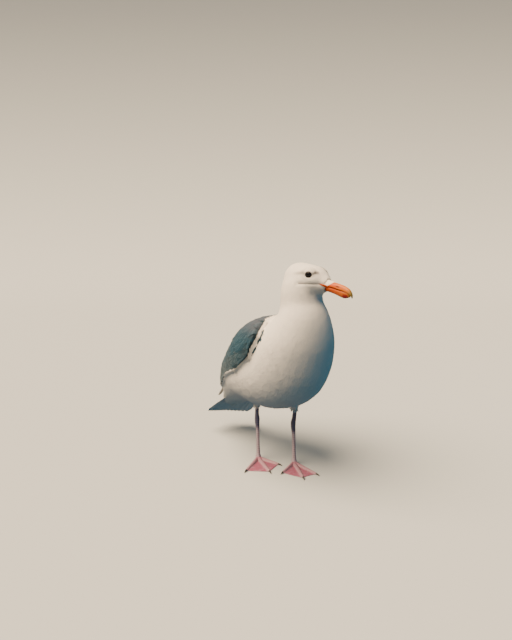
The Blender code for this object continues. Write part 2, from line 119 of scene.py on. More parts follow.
class Nodes:
    """Short calls that add and join the nodes of one tree."""

    def __init__(self, tree):
        self.tree = tree

    def add(self, kind, inputs=(), **settings):
        node = self.tree.nodes.new(kind)
        for name, value in settings.items():
            setattr(node, name, value)
        for socket, value in dict(inputs).items():
            self.set(node.inputs[socket], value)
        return node

    def set(self, socket, value):
        if isinstance(value, bpy.types.NodeSocket):
            self.tree.links.new(value, socket)
        else:
            socket.default_value = value

    def maths(self, operation, first, second=0.0, third=0.0):
        inputs = {0: first, 1: second, 2: third}
        return self.add("ShaderNodeMath", inputs, operation=operation).outputs[0]

    def step(self, value, low, high):
        """0 below low, 1 above high and a soft ramp between."""
        inputs = {"Value": value, "From Min": low, "From Max": high}
        return self.add("ShaderNodeMapRange", inputs, interpolation_type="SMOOTHSTEP").outputs[0]

    def times(self, first, second):
        return self.maths("MULTIPLY", first, second)

    def opposite(self, share):
        return self.maths("SUBTRACT", 1.0, share)

    def mix(self, factor, first, second):
        """Blends two colours, given as sockets or as red, green and blue."""
        inputs = {0: factor, 6: first, 7: second}
        for slot in (6, 7):
            if isinstance(inputs[slot], tuple):
                inputs[slot] = (*inputs[slot], 1.0)
        return self.add("ShaderNodeMix", inputs, data_type="RGBA").outputs[2]

    def noise(self, place, scale, detail=3.0):
        inputs = {"Vector": place, "Scale": scale, "Detail": detail}
        return self.add("ShaderNodeTexNoise", inputs).outputs["Fac"]

    def object_place(self):
        return self.add("ShaderNodeTexCoord").outputs["Object"]

    def attribute(self, name, output="Vector"):
        return self.add("ShaderNodeAttribute", attribute_name=name).outputs[output]

    def split(self, vector):
        return self.add("ShaderNodeSeparateXYZ", {0: vector}).outputs

    def bump(self, height, strength, distance):
        inputs = {"Height": height, "Strength": strength, "Distance": distance}
        return self.add("ShaderNodeBump", inputs).outputs[0]

    def group(self, made, **inputs):
        node = self.add("ShaderNodeGroup", node_tree=made)
        for name, value in inputs.items():
            self.set(node.inputs[name.replace("_", " ")], value)
        return node.outputs


def shader_of(made):
    return made.node_tree.nodes["Principled BSDF"].inputs


print("helpers ready")

# %% Floor and backdrop
FLOOR_COLOUR = (0.52, 0.54, 0.54)
FLOOR_HALF_WIDTH = 9.0
FLOOR_NEAR = -8.0
COVE_START = 2.4
COVE_RADIUS = 3.4
BACKDROP_TOP = 7.0
COVE_STEPS = 24

sweep = [(FLOOR_NEAR, 0.0)]
for step_number in range(COVE_STEPS + 1):
    bend = math.pi / 2 * step_number / COVE_STEPS
    ahead = COVE_START + COVE_RADIUS * math.sin(bend)
    sweep.append((ahead, COVE_RADIUS * (1 - math.cos(bend))))
sweep.append((COVE_START + COVE_RADIUS, BACKDROP_TOP))
floor_shape = bmesh.new()
line = [floor_shape.verts.new((-FLOOR_HALF_WIDTH, ahead, height)) for ahead, height in sweep]
edges = [floor_shape.edges.new(pair) for pair in zip(line, line[1:])]
grown = bmesh.ops.extrude_edge_only(floor_shape, edges=edges)["geom"]
far = [part for part in grown if isinstance(part, bmesh.types.BMVert)]
bmesh.ops.translate(floor_shape, verts=far, vec=(2 * FLOOR_HALF_WIDTH, 0.0, 0.0))
turn = Matrix.Rotation(math.radians(CAMERA_YAW), 3, "Z")
bmesh.ops.rotate(floor_shape, cent=(0.0, 0.0, 0.0), matrix=turn, verts=floor_shape.verts)
bmesh.ops.recalc_face_normals(floor_shape, faces=floor_shape.faces)
floor = link("floor", bpy.data.meshes.new("floor"))
floor_shape.to_mesh(floor.data)
floor_shape.free()
floor.data.shade_smooth()
floor_finish = new_material("floor_finish", FLOOR_COLOUR, 0.9, Specular_IOR_Level=0.1)
floor.data.materials.append(floor_finish)
floor.visible_diffuse = False  # the sky alone tints the shade
print("floor and backdrop faces:", len(floor.data.polygons))

# %% Sky and lamps
SKY_BRIGHT = (1.0, 0.88, 0.74)
SKY_SHADE = (0.014, 0.110, 0.180)
SKY_STRENGTH = 0.70
BACK_FROM = Vector((0.78, 0.60, 0.16))
BACK_SHARE = 0.7
SIDE_FROM = Vector((-0.84, -0.52, -0.12))
SIDE_SHARE = 0.5
SUN_FROM = Vector((-0.52, 0.02, 0.85))
SUN_STRENGTH = 10.0
SUN_COLOUR = (1.0, 0.76, 0.50)
SUN_SOFTNESS = 58.0  # degrees
FILL_AT = (1.30, -0.80, 0.20)
FILL_WATTS = 2.5
FILL_COLOUR = (0.05, 0.55, 1.0)
AIM = Vector((0.0, -0.03, 0.18))

sky = bpy.data.worlds.new("sky")
sky.use_nodes = True
tools = Nodes(sky.node_tree)
seen = tools.add("ShaderNodeTexCoord").outputs["Generated"]


def facing_share(way, low, high):
    inputs = {0: seen, 1: way.normalized()}
    dot = tools.add("ShaderNodeVectorMath", inputs, operation="DOT_PRODUCT").outputs["Value"]
    return tools.step(dot, low, high)


from_behind = tools.times(facing_share(BACK_FROM, 0.72, 1.0), BACK_SHARE)
from_side = tools.times(facing_share(SIDE_FROM, 0.60, 1.0), SIDE_SHARE)
bright = tools.maths("MAXIMUM", facing_share(SUN_FROM, 0.50, 1.0), from_behind)
bright = tools.maths("MAXIMUM", bright, from_side)
colour = tools.mix(bright, SKY_SHADE, SKY_BRIGHT)
background = sky.node_tree.nodes["Background"].inputs
tools.set(background["Color"], colour)
background["Strength"].default_value = SKY_STRENGTH
bpy.context.scene.world = sky
key = link("key_lamp", bpy.data.lights.new("key_lamp", "SUN"))
key.data.energy = SUN_STRENGTH
key.data.angle = math.radians(SUN_SOFTNESS)
key.data.color = SUN_COLOUR
key.rotation_euler = (-SUN_FROM).to_track_quat("-Z", "Y").to_euler()
fill = link("fill_lamp", bpy.data.lights.new("fill_lamp", "AREA"))
fill.data.energy = FILL_WATTS
fill.data.size = 1.2
fill.data.color = FILL_COLOUR
fill.location = FILL_AT
fill.rotation_euler = (AIM - fill.location).to_track_quat("-Z", "Y").to_euler()
print("lamps:", key.name, fill.name)

# %% [markdown]
# ## The skin
# Head, neck, trunk, wings and thighs are separate solids, with hair-thin gaps between them. On
# the bird one skin covers them all. The copies of the solids are remeshed together into a single
# closed surface, which is then smoothed and sunk by the depth of the plumage: about a millimetre
# on the face and two or three on the body.

# %% One closed skin
WELD = 1e-5
SKIN_VOXEL = 0.0019
SKIN_EASE_ROUNDS = 9
FLESH = ("head", "neck", "trunk", "wing_left", "wing_right", "thigh_left", "thigh_right")


def welded(*nodes):
    """The shapes of some solids in one bmesh, with their loose triangles joined."""
    shape = bmesh.new()
    for node in nodes:
        shape.from_mesh(frame["nodes"][node].data)
    bmesh.ops.remove_doubles(shape, verts=shape.verts, dist=WELD)
    return shape


def new_piece(name, shape, slot, *replaced):
    mesh = bpy.data.meshes.new(name)
    shape.to_mesh(mesh)
    shape.free()
    piece = link(name, mesh)
    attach(piece, "root")
    if replaced:
        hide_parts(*replaced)
    return piece


def apply_modifiers(piece):
    graph = bpy.context.evaluated_depsgraph_get()
    mesh = bpy.data.meshes.new_from_object(piece.evaluated_get(graph))
    piece.modifiers.clear()
    piece.data = mesh


def finish_shape(piece, wall=0.0, finer=0):
    """Gives a sheet its wall, on the inside, and a coarse shape its finer levels."""
    if wall:
        thickness = piece.modifiers.new("thickness", "SOLIDIFY")
        thickness.thickness = wall
        thickness.offset = -1.0
    if finer:
        levels = piece.modifiers.new("finer", "SUBSURF")
        levels.levels = levels.render_levels = finer
    apply_modifiers(piece)
    piece.data.shade_smooth()


def remesh(piece, voxel, rounds):
    even = piece.modifiers.new("even", "REMESH")
    even.mode = "VOXEL"
    even.voxel_size = voxel
    ease = piece.modifiers.new("ease", "SMOOTH")
    ease.iterations = rounds  # each at the modifier's own half strength
    apply_modifiers(piece)


def keep_outer_shell(piece):
    """Remeshing leaves small closed pockets in the gaps; only the largest surface stays."""
    shape = bmesh.new()
    shape.from_mesh(piece.data)
    shape.verts.ensure_lookup_table()
    group = [-1] * len(shape.verts)
    sizes = []
    for start in shape.verts:
        if group[start.index] >= 0:
            continue
        group[start.index] = len(sizes)
        waiting = [start]
        count = 0
        while waiting:
            vert = waiting.pop()
            count += 1
            for edge in vert.link_edges:
                other = edge.other_vert(vert)
                if group[other.index] < 0:
                    group[other.index] = len(sizes)
                    waiting.append(other)
        sizes.append(count)
    largest = sizes.index(max(sizes))
    pockets = [vert for vert in shape.verts if group[vert.index] != largest]
    bmesh.ops.delete(shape, geom=pockets, context="VERTS")
    shape.to_mesh(piece.data)
    shape.free()
    return len(sizes) - 1


skin = new_piece("skin", welded(*FLESH), "white_plumage", *FLESH)
remesh(skin, SKIN_VOXEL, SKIN_EASE_ROUNDS)
print("skin faces:", len(skin.data.polygons), "pockets removed:", keep_outer_shell(skin))

# %% [markdown]
# ## Finding one's way on the body
# Plumage needs three answers at every place: how long the feathers are, which way they lie, and
# how they are coloured. They come from a few landmarks: the line down the middle of the neck and
# trunk, the root of the bill, the eyes and the outline of the folded wings.

# %% Landmarks of the head and back
HEAD_AT = (0.0120, -0.1484, 0.3352)
HEAD_TURN = 19.0
HEAD_DIP = 11.0
BILL_ROOT_AHEAD = 0.031
BILL_ROOT_UP = -0.001
EYE_AHEAD = -0.0028
EYE_OUT = 0.0160
EYE_UP = 0.0118
EYE_TURN = 0.33  # how much the eye looks forward and up, against how much it looks out
EYE_TILT = 0.08
BALL_RADIUS = 0.0075
# Down the middle of the bird, from the throat to the tail: y and z.
MIDDLE = (
    (-0.1216, 0.334),
    (-0.1256, 0.298),
    (-0.1166, 0.245),
    (-0.0946, 0.213),
    (-0.0556, 0.184),
    (-0.0006, 0.161),
    (0.0464, 0.137),
    (0.0864, 0.110),
    (0.1384, 0.068),
)

head_frame = (
    Matrix.Translation(HEAD_AT)
    @ Matrix.Rotation(math.radians(HEAD_TURN), 4, "Z")
    @ Matrix.Rotation(math.radians(HEAD_DIP), 4, "X")
)


def in_head(forward, height, x=0.0):
    """A place given in the head's own frame, as a place in the whole model."""
    return head_frame @ Vector((x, -forward, height))


EYE_CENTRES = {side: in_head(EYE_AHEAD, EYE_UP, sign * EYE_OUT) for side, sign in SIDES.items()}
EYE_AXES = {
    side: (head_frame.to_3x3() @ Vector((sign, -EYE_TURN, EYE_TILT))).normalized()
    for side, sign in SIDES.items()
}
BILL_ROOT = np.array(in_head(BILL_ROOT_AHEAD, BILL_ROOT_UP))
TO_HEAD = np.array(head_frame.inverted())


def seen_from_head(places):
    """Places as forward, height and x in the head's own frame."""
    local = places @ TO_HEAD[:3, :3].T + TO_HEAD[:3, 3]
    return -local[:, 1], local[:, 2], local[:, 0]


def facing(side):
    """A frame at the eye's centre whose Z looks out and whose Y is up."""
    out = EYE_AXES[side]
    up = (head_frame.to_3x3() @ Vector((0, 0, 1))).normalized()
    across = up.cross(out).normalized()
    up = out.cross(across)
    turn = Matrix((across, up, out)).transposed().to_4x4()
    return Matrix.Translation(EYE_CENTRES[side]) @ turn


for side, centre in EYE_CENTRES.items():
    low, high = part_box(f"eye_{side}")
    print(side, "eye is off by", round(((low + high) / 2 - centre).length * 1000, 3), "mm")

# %% Arrays of a mesh


def unit(vectors):
    return vectors / np.maximum(np.linalg.norm(vectors, axis=-1, keepdims=True), 1e-12)


def ramp(value, low, high):
    """0 up to low, 1 from high on and a soft rise between."""
    share = np.clip((value - low) / (high - low), 0.0, 1.0)
    return share * share * (3 - 2 * share)


def read_places(mesh):
    places = np.empty(len(mesh.vertices) * 3, np.float32)
    mesh.vertices.foreach_get("co", places)
    return places.reshape(-1, 3).astype(float)


def read_normals(mesh):
    normals = np.empty(len(mesh.vertices) * 3, np.float32)
    mesh.vertex_normals.foreach_get("vector", normals)
    return normals.reshape(-1, 3).astype(float)


def read_triangles(mesh):
    mesh.calc_loop_triangles()
    triangles = np.empty(len(mesh.loop_triangles) * 3, np.int32)
    mesh.loop_triangles.foreach_get("vertices", triangles)
    return triangles.reshape(-1, 3)


def add_values(mesh, name, values):
    """Keeps one number or three numbers per corner of a mesh, for the materials."""
    values = np.array(values, np.float32)
    kind, field = ("FLOAT", "value") if values.ndim == 1 else ("FLOAT_VECTOR", "vector")
    mesh.attributes.new(name, kind, "POINT").data.foreach_set(field, values.ravel())


def write_places(mesh, places):
    mesh.vertices.foreach_set("co", places.astype(np.float32).ravel())
    mesh.update()


def bumpy(places, wavelength, seed=0.0):
    """Smooth random numbers from about -1 to 1 that change over the given length."""
    scaled = places / wavelength + seed
    return np.array([noise.noise(Vector(p)) for p in scaled])


print("array helpers ready")

# %% Station, angle and lie of the plumage
MIDDLE_SAMPLES = 72
LIE_BLEND = 0.024
HEAD_FROM = (0.285, 0.322)  # heights between which neck turns into head
CHUNK = 20000  # places looked up at a time
EYE_SWERVE = 0.006  # how far past EYE_CALM the plumage still turns round the eye
EYE_CALM = 0.008
SWERVE_FACING = 1.25  # where the lie runs at the eye
SWERVE_ALWAYS = 0.15
FLANK_SWEEP = 0.55  # turns the lie towards the tail on the sides of the body

middle = np.array(MIDDLE)
lengths = np.concatenate([[0.0], np.cumsum(np.linalg.norm(np.diff(middle, axis=0), axis=1))])
stops = np.linspace(0.0, lengths[-1], MIDDLE_SAMPLES)
middle_y = np.interp(stops, lengths, middle[:, 0])
middle_z = np.interp(stops, lengths, middle[:, 1])
tailward = unit(np.stack([np.gradient(middle_y), np.gradient(middle_z)], axis=1))


def station(places):
    """How far down the body each place is, 0 to 1, its angle round the body, and tailward."""
    found = np.empty(len(places))
    turn = np.empty(len(places))
    lie = np.zeros((len(places), 3))
    for start in range(0, len(places), CHUNK):
        part = slice(start, start + CHUNK)
        away_y = places[part, 1, None] - middle_y
        away_z = places[part, 2, None] - middle_z
        squared = away_y**2 + away_z**2
        weight = np.exp((squared.min(1, keepdims=True) - squared) / LIE_BLEND**2)
        weight /= weight.sum(1, keepdims=True)
        found[part] = weight @ stops / lengths[-1]
        lie[part, 1] = weight @ tailward[:, 0]
        lie[part, 2] = weight @ tailward[:, 1]
        out_y = places[part, 1] - weight @ middle_y
        out_z = places[part, 2] - weight @ middle_z
        outward = out_y * -lie[part, 2] + out_z * lie[part, 1]
        turn[part] = np.arctan2(places[part, 0], outward)
    return found, turn, unit(lie)


def head_share(places):
    """1 on the head, 0 on the lower neck."""
    return ramp(places[:, 2], *HEAD_FROM)


def along_surface(directions, normals):
    return unit(directions - normals * (directions * normals).sum(1, keepdims=True))


def lie_of(places, normals):
    """The way the plumage lies: back from the bill on the head, then down the body."""
    share = head_share(places)[:, None]
    down_body = station(places)[2] + np.array((0.0, FLANK_SWEEP, 0.0))
    direction = unit(places - BILL_ROOT) * share + unit(down_body) * (1 - share)
    for side in SIDES:
        away = places - np.array(EYE_CENTRES[side])
        distance = np.linalg.norm(away, axis=1, keepdims=True)
        near = np.exp(-((np.maximum(distance - EYE_CALM, 0.0) / EYE_SWERVE) ** 2))
        inward = np.maximum(-(direction * away / distance).sum(1, keepdims=True), 0.0)
        direction += (SWERVE_FACING * inward + SWERVE_ALWAYS) * near * away / distance
    return along_surface(direction, normals)


print("middle line:", round(float(lengths[-1]), 3), "m")

# %% Depth of the plumage
WHITE_OVERLAP = 0.0050  # how far the white lies over the front of the wing
VANE_START = 0.0006
PATCH_REACH = 0.009  # how far round a grey place its neighbours count
PATCH_PASSES = 3
PATCH_SHARE = 0.47  # grey neighbours that keep a place grey
PATCH_LOWEST = 0.205
OVERLAP_REAR = -0.010
FACE_DEPTH = 0.0009
HEAD_DEPTH = 0.0016
BODY_DEPTH = 0.0026
WING_DEPTH = 0.0022
FACE_START = 0.004  # from the bill or the eye, where the plumage starts to deepen
FACE_REACH = 0.034


def outline_tree(names):
    """A search tree over some solids, and which solid each of its faces belongs to."""
    corners = []
    faces = []
    owners = []
    for name in names:
        mesh = frame["nodes"][name].data
        first = len(corners)
        corners += [tuple(p) for p in read_places(mesh)]
        triangles = read_triangles(mesh) + first
        faces += [tuple(int(k) for k in t) for t in triangles]
        owners += [name] * len(triangles)
    return BVHTree.FromPolygons(corners, faces), owners


flesh_tree, flesh_owners = outline_tree(FLESH)


def on_wing(places):
    """1 where the solid nearest to a place is a folded wing."""
    hits = [flesh_tree.find_nearest(Vector(place))[2] for place in places]
    return np.array([flesh_owners[hit].startswith("wing") for hit in hits], float)


def tree_of(chosen):
    """A search tree over some of the skin's corners."""
    tree = KDTree(len(skin_places))
    for number in chosen:
        tree.insert(Vector(skin_places[number]), int(number))
    tree.balance()
    return tree


def eye_distance(places):
    return np.min(
        [np.linalg.norm(places - np.array(centre), axis=1) for centre in EYE_CENTRES.values()],
        axis=0,
    )


def plumage_depth(places, wing):
    from_bill = np.linalg.norm(places - BILL_ROOT, axis=1)
    near = np.minimum(from_bill - FACE_START, eye_distance(places) - FACE_START)
    face = ramp(near, 0.0, FACE_REACH)
    depth = FACE_DEPTH + (HEAD_DEPTH - FACE_DEPTH) * face
    depth += (BODY_DEPTH - HEAD_DEPTH) * (1 - head_share(places))
    return np.where(wing > 0.5, np.minimum(depth, WING_DEPTH), depth)


skin_places = read_places(skin.data)
skin_normals = read_normals(skin.data)
skin_wing = on_wing(skin_places)
# The white feathers of the breast lie over the front edge of the wing.
white_tree = tree_of(np.flatnonzero(skin_wing < 0.5))
vane_ground = skin_wing.copy()  # the vanes start a little in front of the last white roots
for number in np.flatnonzero((skin_wing > 0.5) & (skin_places[:, 1] < OVERLAP_REAR)):
    into_wing = white_tree.find(Vector(skin_places[number]))[2]
    skin_wing[number] = float(into_wing > WHITE_OVERLAP)
    vane_ground[number] = float(into_wing > VANE_START)
# Grey patches that the white closes in on turn white too.
near_tree = tree_of(range(len(skin_places)))
for _ in range(PATCH_PASSES):
    held = skin_wing.copy()
    for number in np.flatnonzero((held > 0.5) & (skin_places[:, 2] > PATCH_LOWEST)):
        near = near_tree.find_range(Vector(skin_places[number]), PATCH_REACH)
        if held[[index for _, index, _ in near]].mean() < PATCH_SHARE:
            skin_wing[number] = 0.0
            vane_ground[number] = 0.0
print("wing share of the skin:", round(float(skin_wing.mean()), 3))

# %% [markdown]
# ## Folds of the face
# A gull's face isn't a smooth egg. A shallow fold runs back from the corner of the mouth under
# the eye, the brow stands out over the eye and the eye itself sits in a hollow. These are pushed
# into the skin before it is sunk, so that the feathers follow them.

# %% Press the folds into the skin
# The fold: forward and height in the head's frame, then its width and its depth.
GAPE_FOLD = (
    (0.0280, -0.0010),
    (0.0183, 0.0013),
    (0.0080, -0.0004),
    (-0.0100, -0.0036),
)
GAPE_WIDTH = 0.0024
GAPE_DEPTH = 0.0011
SOCKET_RADIUS = 0.0105
SOCKET_DEPTH = 0.0005
MIDLINE = 0.004  # nearer than this to the middle, a place is on neither side


def line_distance(places, sign, line):
    """How far each place is from a line on one side of the head, seen from that side."""
    forward, height, x = seen_from_head(places)
    flat = np.stack([forward, height], axis=1)
    best = np.full(len(places), np.inf)
    for first, second in zip(line, line[1:]):
        first = np.array(first)
        run = np.array(second) - first
        share = np.clip((flat - first) @ run / (run @ run), 0.0, 1.0)
        best = np.minimum(best, np.linalg.norm(flat - first - share[:, None] * run, axis=1))
    return np.where(x * sign > MIDLINE, best, np.inf)


press = np.zeros(len(skin_places))
for side, sign in SIDES.items():
    away = line_distance(skin_places, sign, GAPE_FOLD)
    press += GAPE_DEPTH * np.exp(-((away / GAPE_WIDTH) ** 2))
press += SOCKET_DEPTH * np.exp(-((eye_distance(skin_places) / SOCKET_RADIUS) ** 6))
sink = press + plumage_depth(skin_places, skin_wing)
skin_places = skin_places - skin_normals * sink[:, None]
write_places(skin.data, skin_places)
skin.data.shade_smooth()
skin_normals = read_normals(skin.data)
skin_triangles = read_triangles(skin.data)
add_values(skin.data, "grey", skin_wing)
print("skin sunk by", round(float(sink.mean()) * 1000, 2), "mm on average")

# %% [markdown]
# ## White plumage
# A gull's small feathers are so soft that single ones hardly show: what the eye sees is a fine
# nap with faint streaks. It could be particle hair, but that isn't a mesh. Here every tuft is a
# small leaf with a raised middle, its root in the skin and its tip on the outline. All tufts are
# computed together as arrays and then shared out over several meshes. Noise turns and lifts
# neighbouring tufts together, which gives the streaks of the flanks and belly.

# %% The leaf that every tuft is made from
TUFT_STATIONS = ((0.0, 0.55), (0.34, 1.0), (0.74, 0.74), (1.0, 0.0))  # along, width
TUFT_KEEL = 0.16  # how far the middle is raised, against the width


def leaf_template():
    """Along, across and keel of each corner, and the faces between them."""
    along = []
    across = []
    keel = []
    faces = []
    for t, width in TUFT_STATIONS[:-1]:
        along += [t] * 3
        across += [-width, 0.0, width]
        keel += [0.0, 1.0, 0.0]
    along.append(1.0)
    across.append(0.0)
    keel.append(0.0)
    rows = len(TUFT_STATIONS) - 1
    for row in range(rows - 1):
        for column in range(2):
            first = row * 3 + column
            faces.append((first, first + 4, first + 1))
            faces.append((first, first + 3, first + 4))
    tip = rows * 3
    faces += [(tip - 3, tip, tip - 2), (tip - 2, tip, tip - 1)]
    return np.array(along), np.array(across), np.array(keel), np.array(faces)


LEAF = leaf_template()
print("one tuft has", len(LEAF[3]), "triangles")

# %% Scatter the roots
TUFTS = 128000
# Length and width of a tuft on the face, crown, neck, breast and belly, in metres.
FACE_TUFT = np.array((0.0028, 0.0008))
CROWN_TUFT = np.array((0.0052, 0.0011))
NECK_TUFT = np.array((0.0085, 0.0016))
BREAST_TUFT = np.array((0.0125, 0.0020))
BELLY_TUFT = np.array((0.0180, 0.0021))
THIGH_TUFT = np.array((0.0058, 0.0013))
THIGH_REAR = 0.004
THIGH_LOW = (0.128, 0.118)  # heights between which the thigh's feathers come in
BREAST_LOW = (0.285, 0.235)  # the same for the breast
VENT_FROM = (0.45, 0.75)  # stations along the body
BILL_CLEAR = 0.006
EYE_CLEAR = 0.005
CROWN_REACH = 0.032
# In the head's frame: where the front of the face is blunt, and the chin.
BLUNT_FROM = (0.014, 0.021)
BLUNT_BOTTOM = -0.012
BLUNT_LEAN = -0.0035
CHIN_FROM = (0.012, 0.018)
CHIN_TOP = -0.006
EYE_LEVEL = (0.0090, 0.0135)  # distances from the eye over which the tufts turn to face out
EYE_BARE = 0.0078
# The bare wedge behind the corner of the bill: how far forward it starts and ends.
GAPE_BACK = 0.0180
GAPE_AHEAD = 0.0280
GAPE_HEIGHTS = (0.0013, -0.0010)  # of its middle, at the back and ahead
GAPE_HALVES = (0.0004, 0.0016)  # half its height there


def thigh_share(places):
    """1 on the feathered part of the legs below the belly."""
    low = ramp(-places[:, 2], -THIGH_LOW[0], -THIGH_LOW[1])
    return low * (places[:, 1] < THIGH_REAR) * ramp(-places[:, 1], -THIGH_REAR, -0.004)


def tuft_sizes(places, normals):
    from_bill = np.linalg.norm(places - BILL_ROOT, axis=1)
    near = np.minimum(from_bill - BILL_CLEAR, eye_distance(places) - EYE_CLEAR)
    crown = ramp(near, 0.0, CROWN_REACH)[:, None]
    neck = (1 - head_share(places))[:, None]
    breast = ramp(-places[:, 2], -BREAST_LOW[0], -BREAST_LOW[1])[:, None]
    under = ramp(station(places)[0], *VENT_FROM)[:, None]
    belly = np.maximum(under, ramp(-normals[:, 2], 0.2, 0.8)[:, None] * breast)
    sizes = FACE_TUFT + (CROWN_TUFT - FACE_TUFT) * crown
    sizes = sizes + (NECK_TUFT - sizes) * neck
    sizes = sizes + (BREAST_TUFT - sizes) * breast
    sizes = sizes + (BELLY_TUFT - sizes) * belly
    return sizes + (THIGH_TUFT - sizes) * thigh_share(places)[:, None]


def scatter(count, weights):
    """Random roots over the skin, more where the weight is high: places and normals."""
    corners = skin_places[skin_triangles]
    area = np.linalg.norm(
        np.cross(corners[:, 1] - corners[:, 0], corners[:, 2] - corners[:, 0]), axis=1
    )
    chance = area * weights
    steps = (np.arange(count) + random_numbers.random(count)) / count  # even, so no bare spots
    picked = np.searchsorted(np.cumsum(chance) / chance.sum(), steps)
    picked = np.minimum(picked, len(skin_triangles) - 1)
    first, second = random_numbers.random((2, count))
    flip = first + second > 1
    first[flip] = 1 - first[flip]
    second[flip] = 1 - second[flip]
    shares = np.stack([1 - first - second, first, second], axis=1)[:, :, None]
    places = (corners[picked] * shares).sum(1)
    normals = unit((skin_normals[skin_triangles[picked]] * shares).sum(1))
    return places, normals


def eye_ring(places):
    """Distance from the axis of the nearer eye, and far more on the rest of the head."""
    found = np.full(len(places), 1.0)
    for side in SIDES:
        away = places - np.array(EYE_CENTRES[side])
        axis = np.array(EYE_AXES[side])
        out = away @ axis
        ring = np.linalg.norm(away - out[:, None] * axis, axis=1)
        found = np.where((out > 0) & (ring < found), ring, found)
    return found


def gape_middle(forward):
    return np.interp(forward, (GAPE_BACK, GAPE_AHEAD), GAPE_HEIGHTS)


def gape_half(forward):
    return np.interp(forward, (GAPE_BACK, GAPE_AHEAD), GAPE_HALVES)


def in_gape(places, margin=0.0):
    """True on the bare wedge of skin behind the corner of the bill."""
    forward, height, _ = seen_from_head(places)
    off = np.abs(height - gape_middle(forward)) < gape_half(forward) + margin
    return off & (forward > GAPE_BACK)


face_centres = skin_places[skin_triangles].mean(1)
face_normals = unit(skin_normals[skin_triangles].mean(1))
face_sizes = tuft_sizes(face_centres, face_normals)
face_grey = skin_wing[skin_triangles].mean(1)
face_weights = (face_grey < 0.99) / face_sizes.prod(1)
face_weights *= eye_ring(face_centres) > EYE_BARE
face_weights *= ~in_gape(face_centres)
roots, root_normals = scatter(TUFTS, face_weights)
root_sizes = tuft_sizes(roots, root_normals)
# The front of the face is blunt, so there the tufts stand square to the bill's axis.
forward, height, x = seen_from_head(roots)
blunt = ramp(forward, *BLUNT_FROM)[:, None] * (height > BLUNT_BOTTOM)[:, None]
radial = np.stack([x, np.full(len(roots), BLUNT_LEAN), height], axis=1)
radial = unit(radial @ np.array(head_frame.to_3x3()).T)
root_normals = unit(root_normals * (1 - 0.45 * blunt) + 0.45 * blunt * radial)
root_sizes[:, 0] *= 1 - 0.35 * blunt[:, 0]
root_sizes[:, 0] *= 1 - 0.45 * ramp(forward, *CHIN_FROM) * (height < CHIN_TOP)
for side in SIDES:
    away = roots - np.array(EYE_CENTRES[side])
    near = 1 - ramp(np.linalg.norm(away, axis=1), *EYE_LEVEL)[:, None]
    level = unit(0.85 * np.array(EYE_AXES[side]) + 0.35 * unit(away))
    root_normals = unit(root_normals * (1 - near) + near * level)
root_lies = lie_of(roots, root_normals)
print("tufts on the skin:", len(roots))

# %% Roots on the bill's base and on the lids
# The plumage runs forward over the base of the upper bill, further on the ridge than at the
# cutting edge, and very small feathers cover the lids up to their bare rims.
BILL_BASE = (0.0215, 0.0350)
BASE_RIDGE = 0.0076
BASE_EDGE = -0.0006
BASE_HALF_WIDTH = (0.0073, 0.0061)
FEATHERS_TO = 0.0240  # forward, at the cutting edge
FEATHERS_FURTHER = 0.0098  # and this much further on the ridge
BASE_TRIES = 12000
LID_RIM = 0.0048  # radius of the opening
LID_REACH = 0.0100
LID_SPOKES = 40
LID_RAY = 0.03  # how far out the rays start that look for the face
LID_FOLD = 0.00035
LID_CLEAR = 0.0001  # between ball and rim
LID_BED = 0.0003  # how deep the outer edge lies in the face
LID_TUFTS = 3000
LID_TUFT = np.array((0.0014, 0.0005))
SKIN_TREE = BVHTree.FromPolygons(
    [tuple(p) for p in skin_places], [tuple(int(k) for k in t) for t in skin_triangles]
)


def lid_levels(side):
    """Where the lids meet the face: height over the eye's centre for each spoke."""
    frame_here = facing(side)
    out = EYE_AXES[side]
    levels = []
    for spoke in range(LID_SPOKES):
        turn = 2 * math.pi * spoke / LID_SPOKES
        ray = (LID_REACH * math.cos(turn), LID_REACH * math.sin(turn), LID_RAY)
        hit = SKIN_TREE.ray_cast(frame_here @ Vector(ray), -out)
        levels.append(LID_RAY - hit[3] if hit[0] else 0.0)
    return np.array(levels)


LID_LEVELS = {side: lid_levels(side) for side in SIDES}


def lid_opening(turn):
    """The opening is a little flatter above and longer in front and behind."""
    corners = 0.08 * np.abs(np.cos(turn)) ** 3
    brow = 0.12 * np.maximum(np.sin(turn), 0.0) ** 2
    return LID_RIM * (1 + corners - brow)


def on_lids(side, turn, share):
    """Places on the lids: share runs from the rim of the opening to the face."""
    rim = lid_opening(turn)
    reach = rim + (LID_REACH - rim) * share
    spokes = np.arange(LID_SPOKES + 1) * 2 * math.pi / LID_SPOKES
    levels = np.append(LID_LEVELS[side], LID_LEVELS[side][0])
    far = np.interp(turn % (2 * math.pi), spokes, levels)
    start = np.sqrt(BALL_RADIUS**2 - rim**2) + LID_CLEAR
    height = start + (far - LID_BED - start) * share**1.5
    height = height + LID_FOLD * np.sin(np.minimum(share / 0.45, 1.0) * math.pi)
    local = np.stack([reach * np.cos(turn), reach * np.sin(turn), height], axis=1)
    turned_out = np.array(facing(side))
    return local @ turned_out[:3, :3].T + turned_out[:3, 3]


def feather_line(height):
    """How far forward the plumage runs on the upper bill at a height."""
    share = np.clip((height - BASE_EDGE) / (BASE_RIDGE - BASE_EDGE), 0.0, 1.0)
    return FEATHERS_TO + FEATHERS_FURTHER * share**0.6


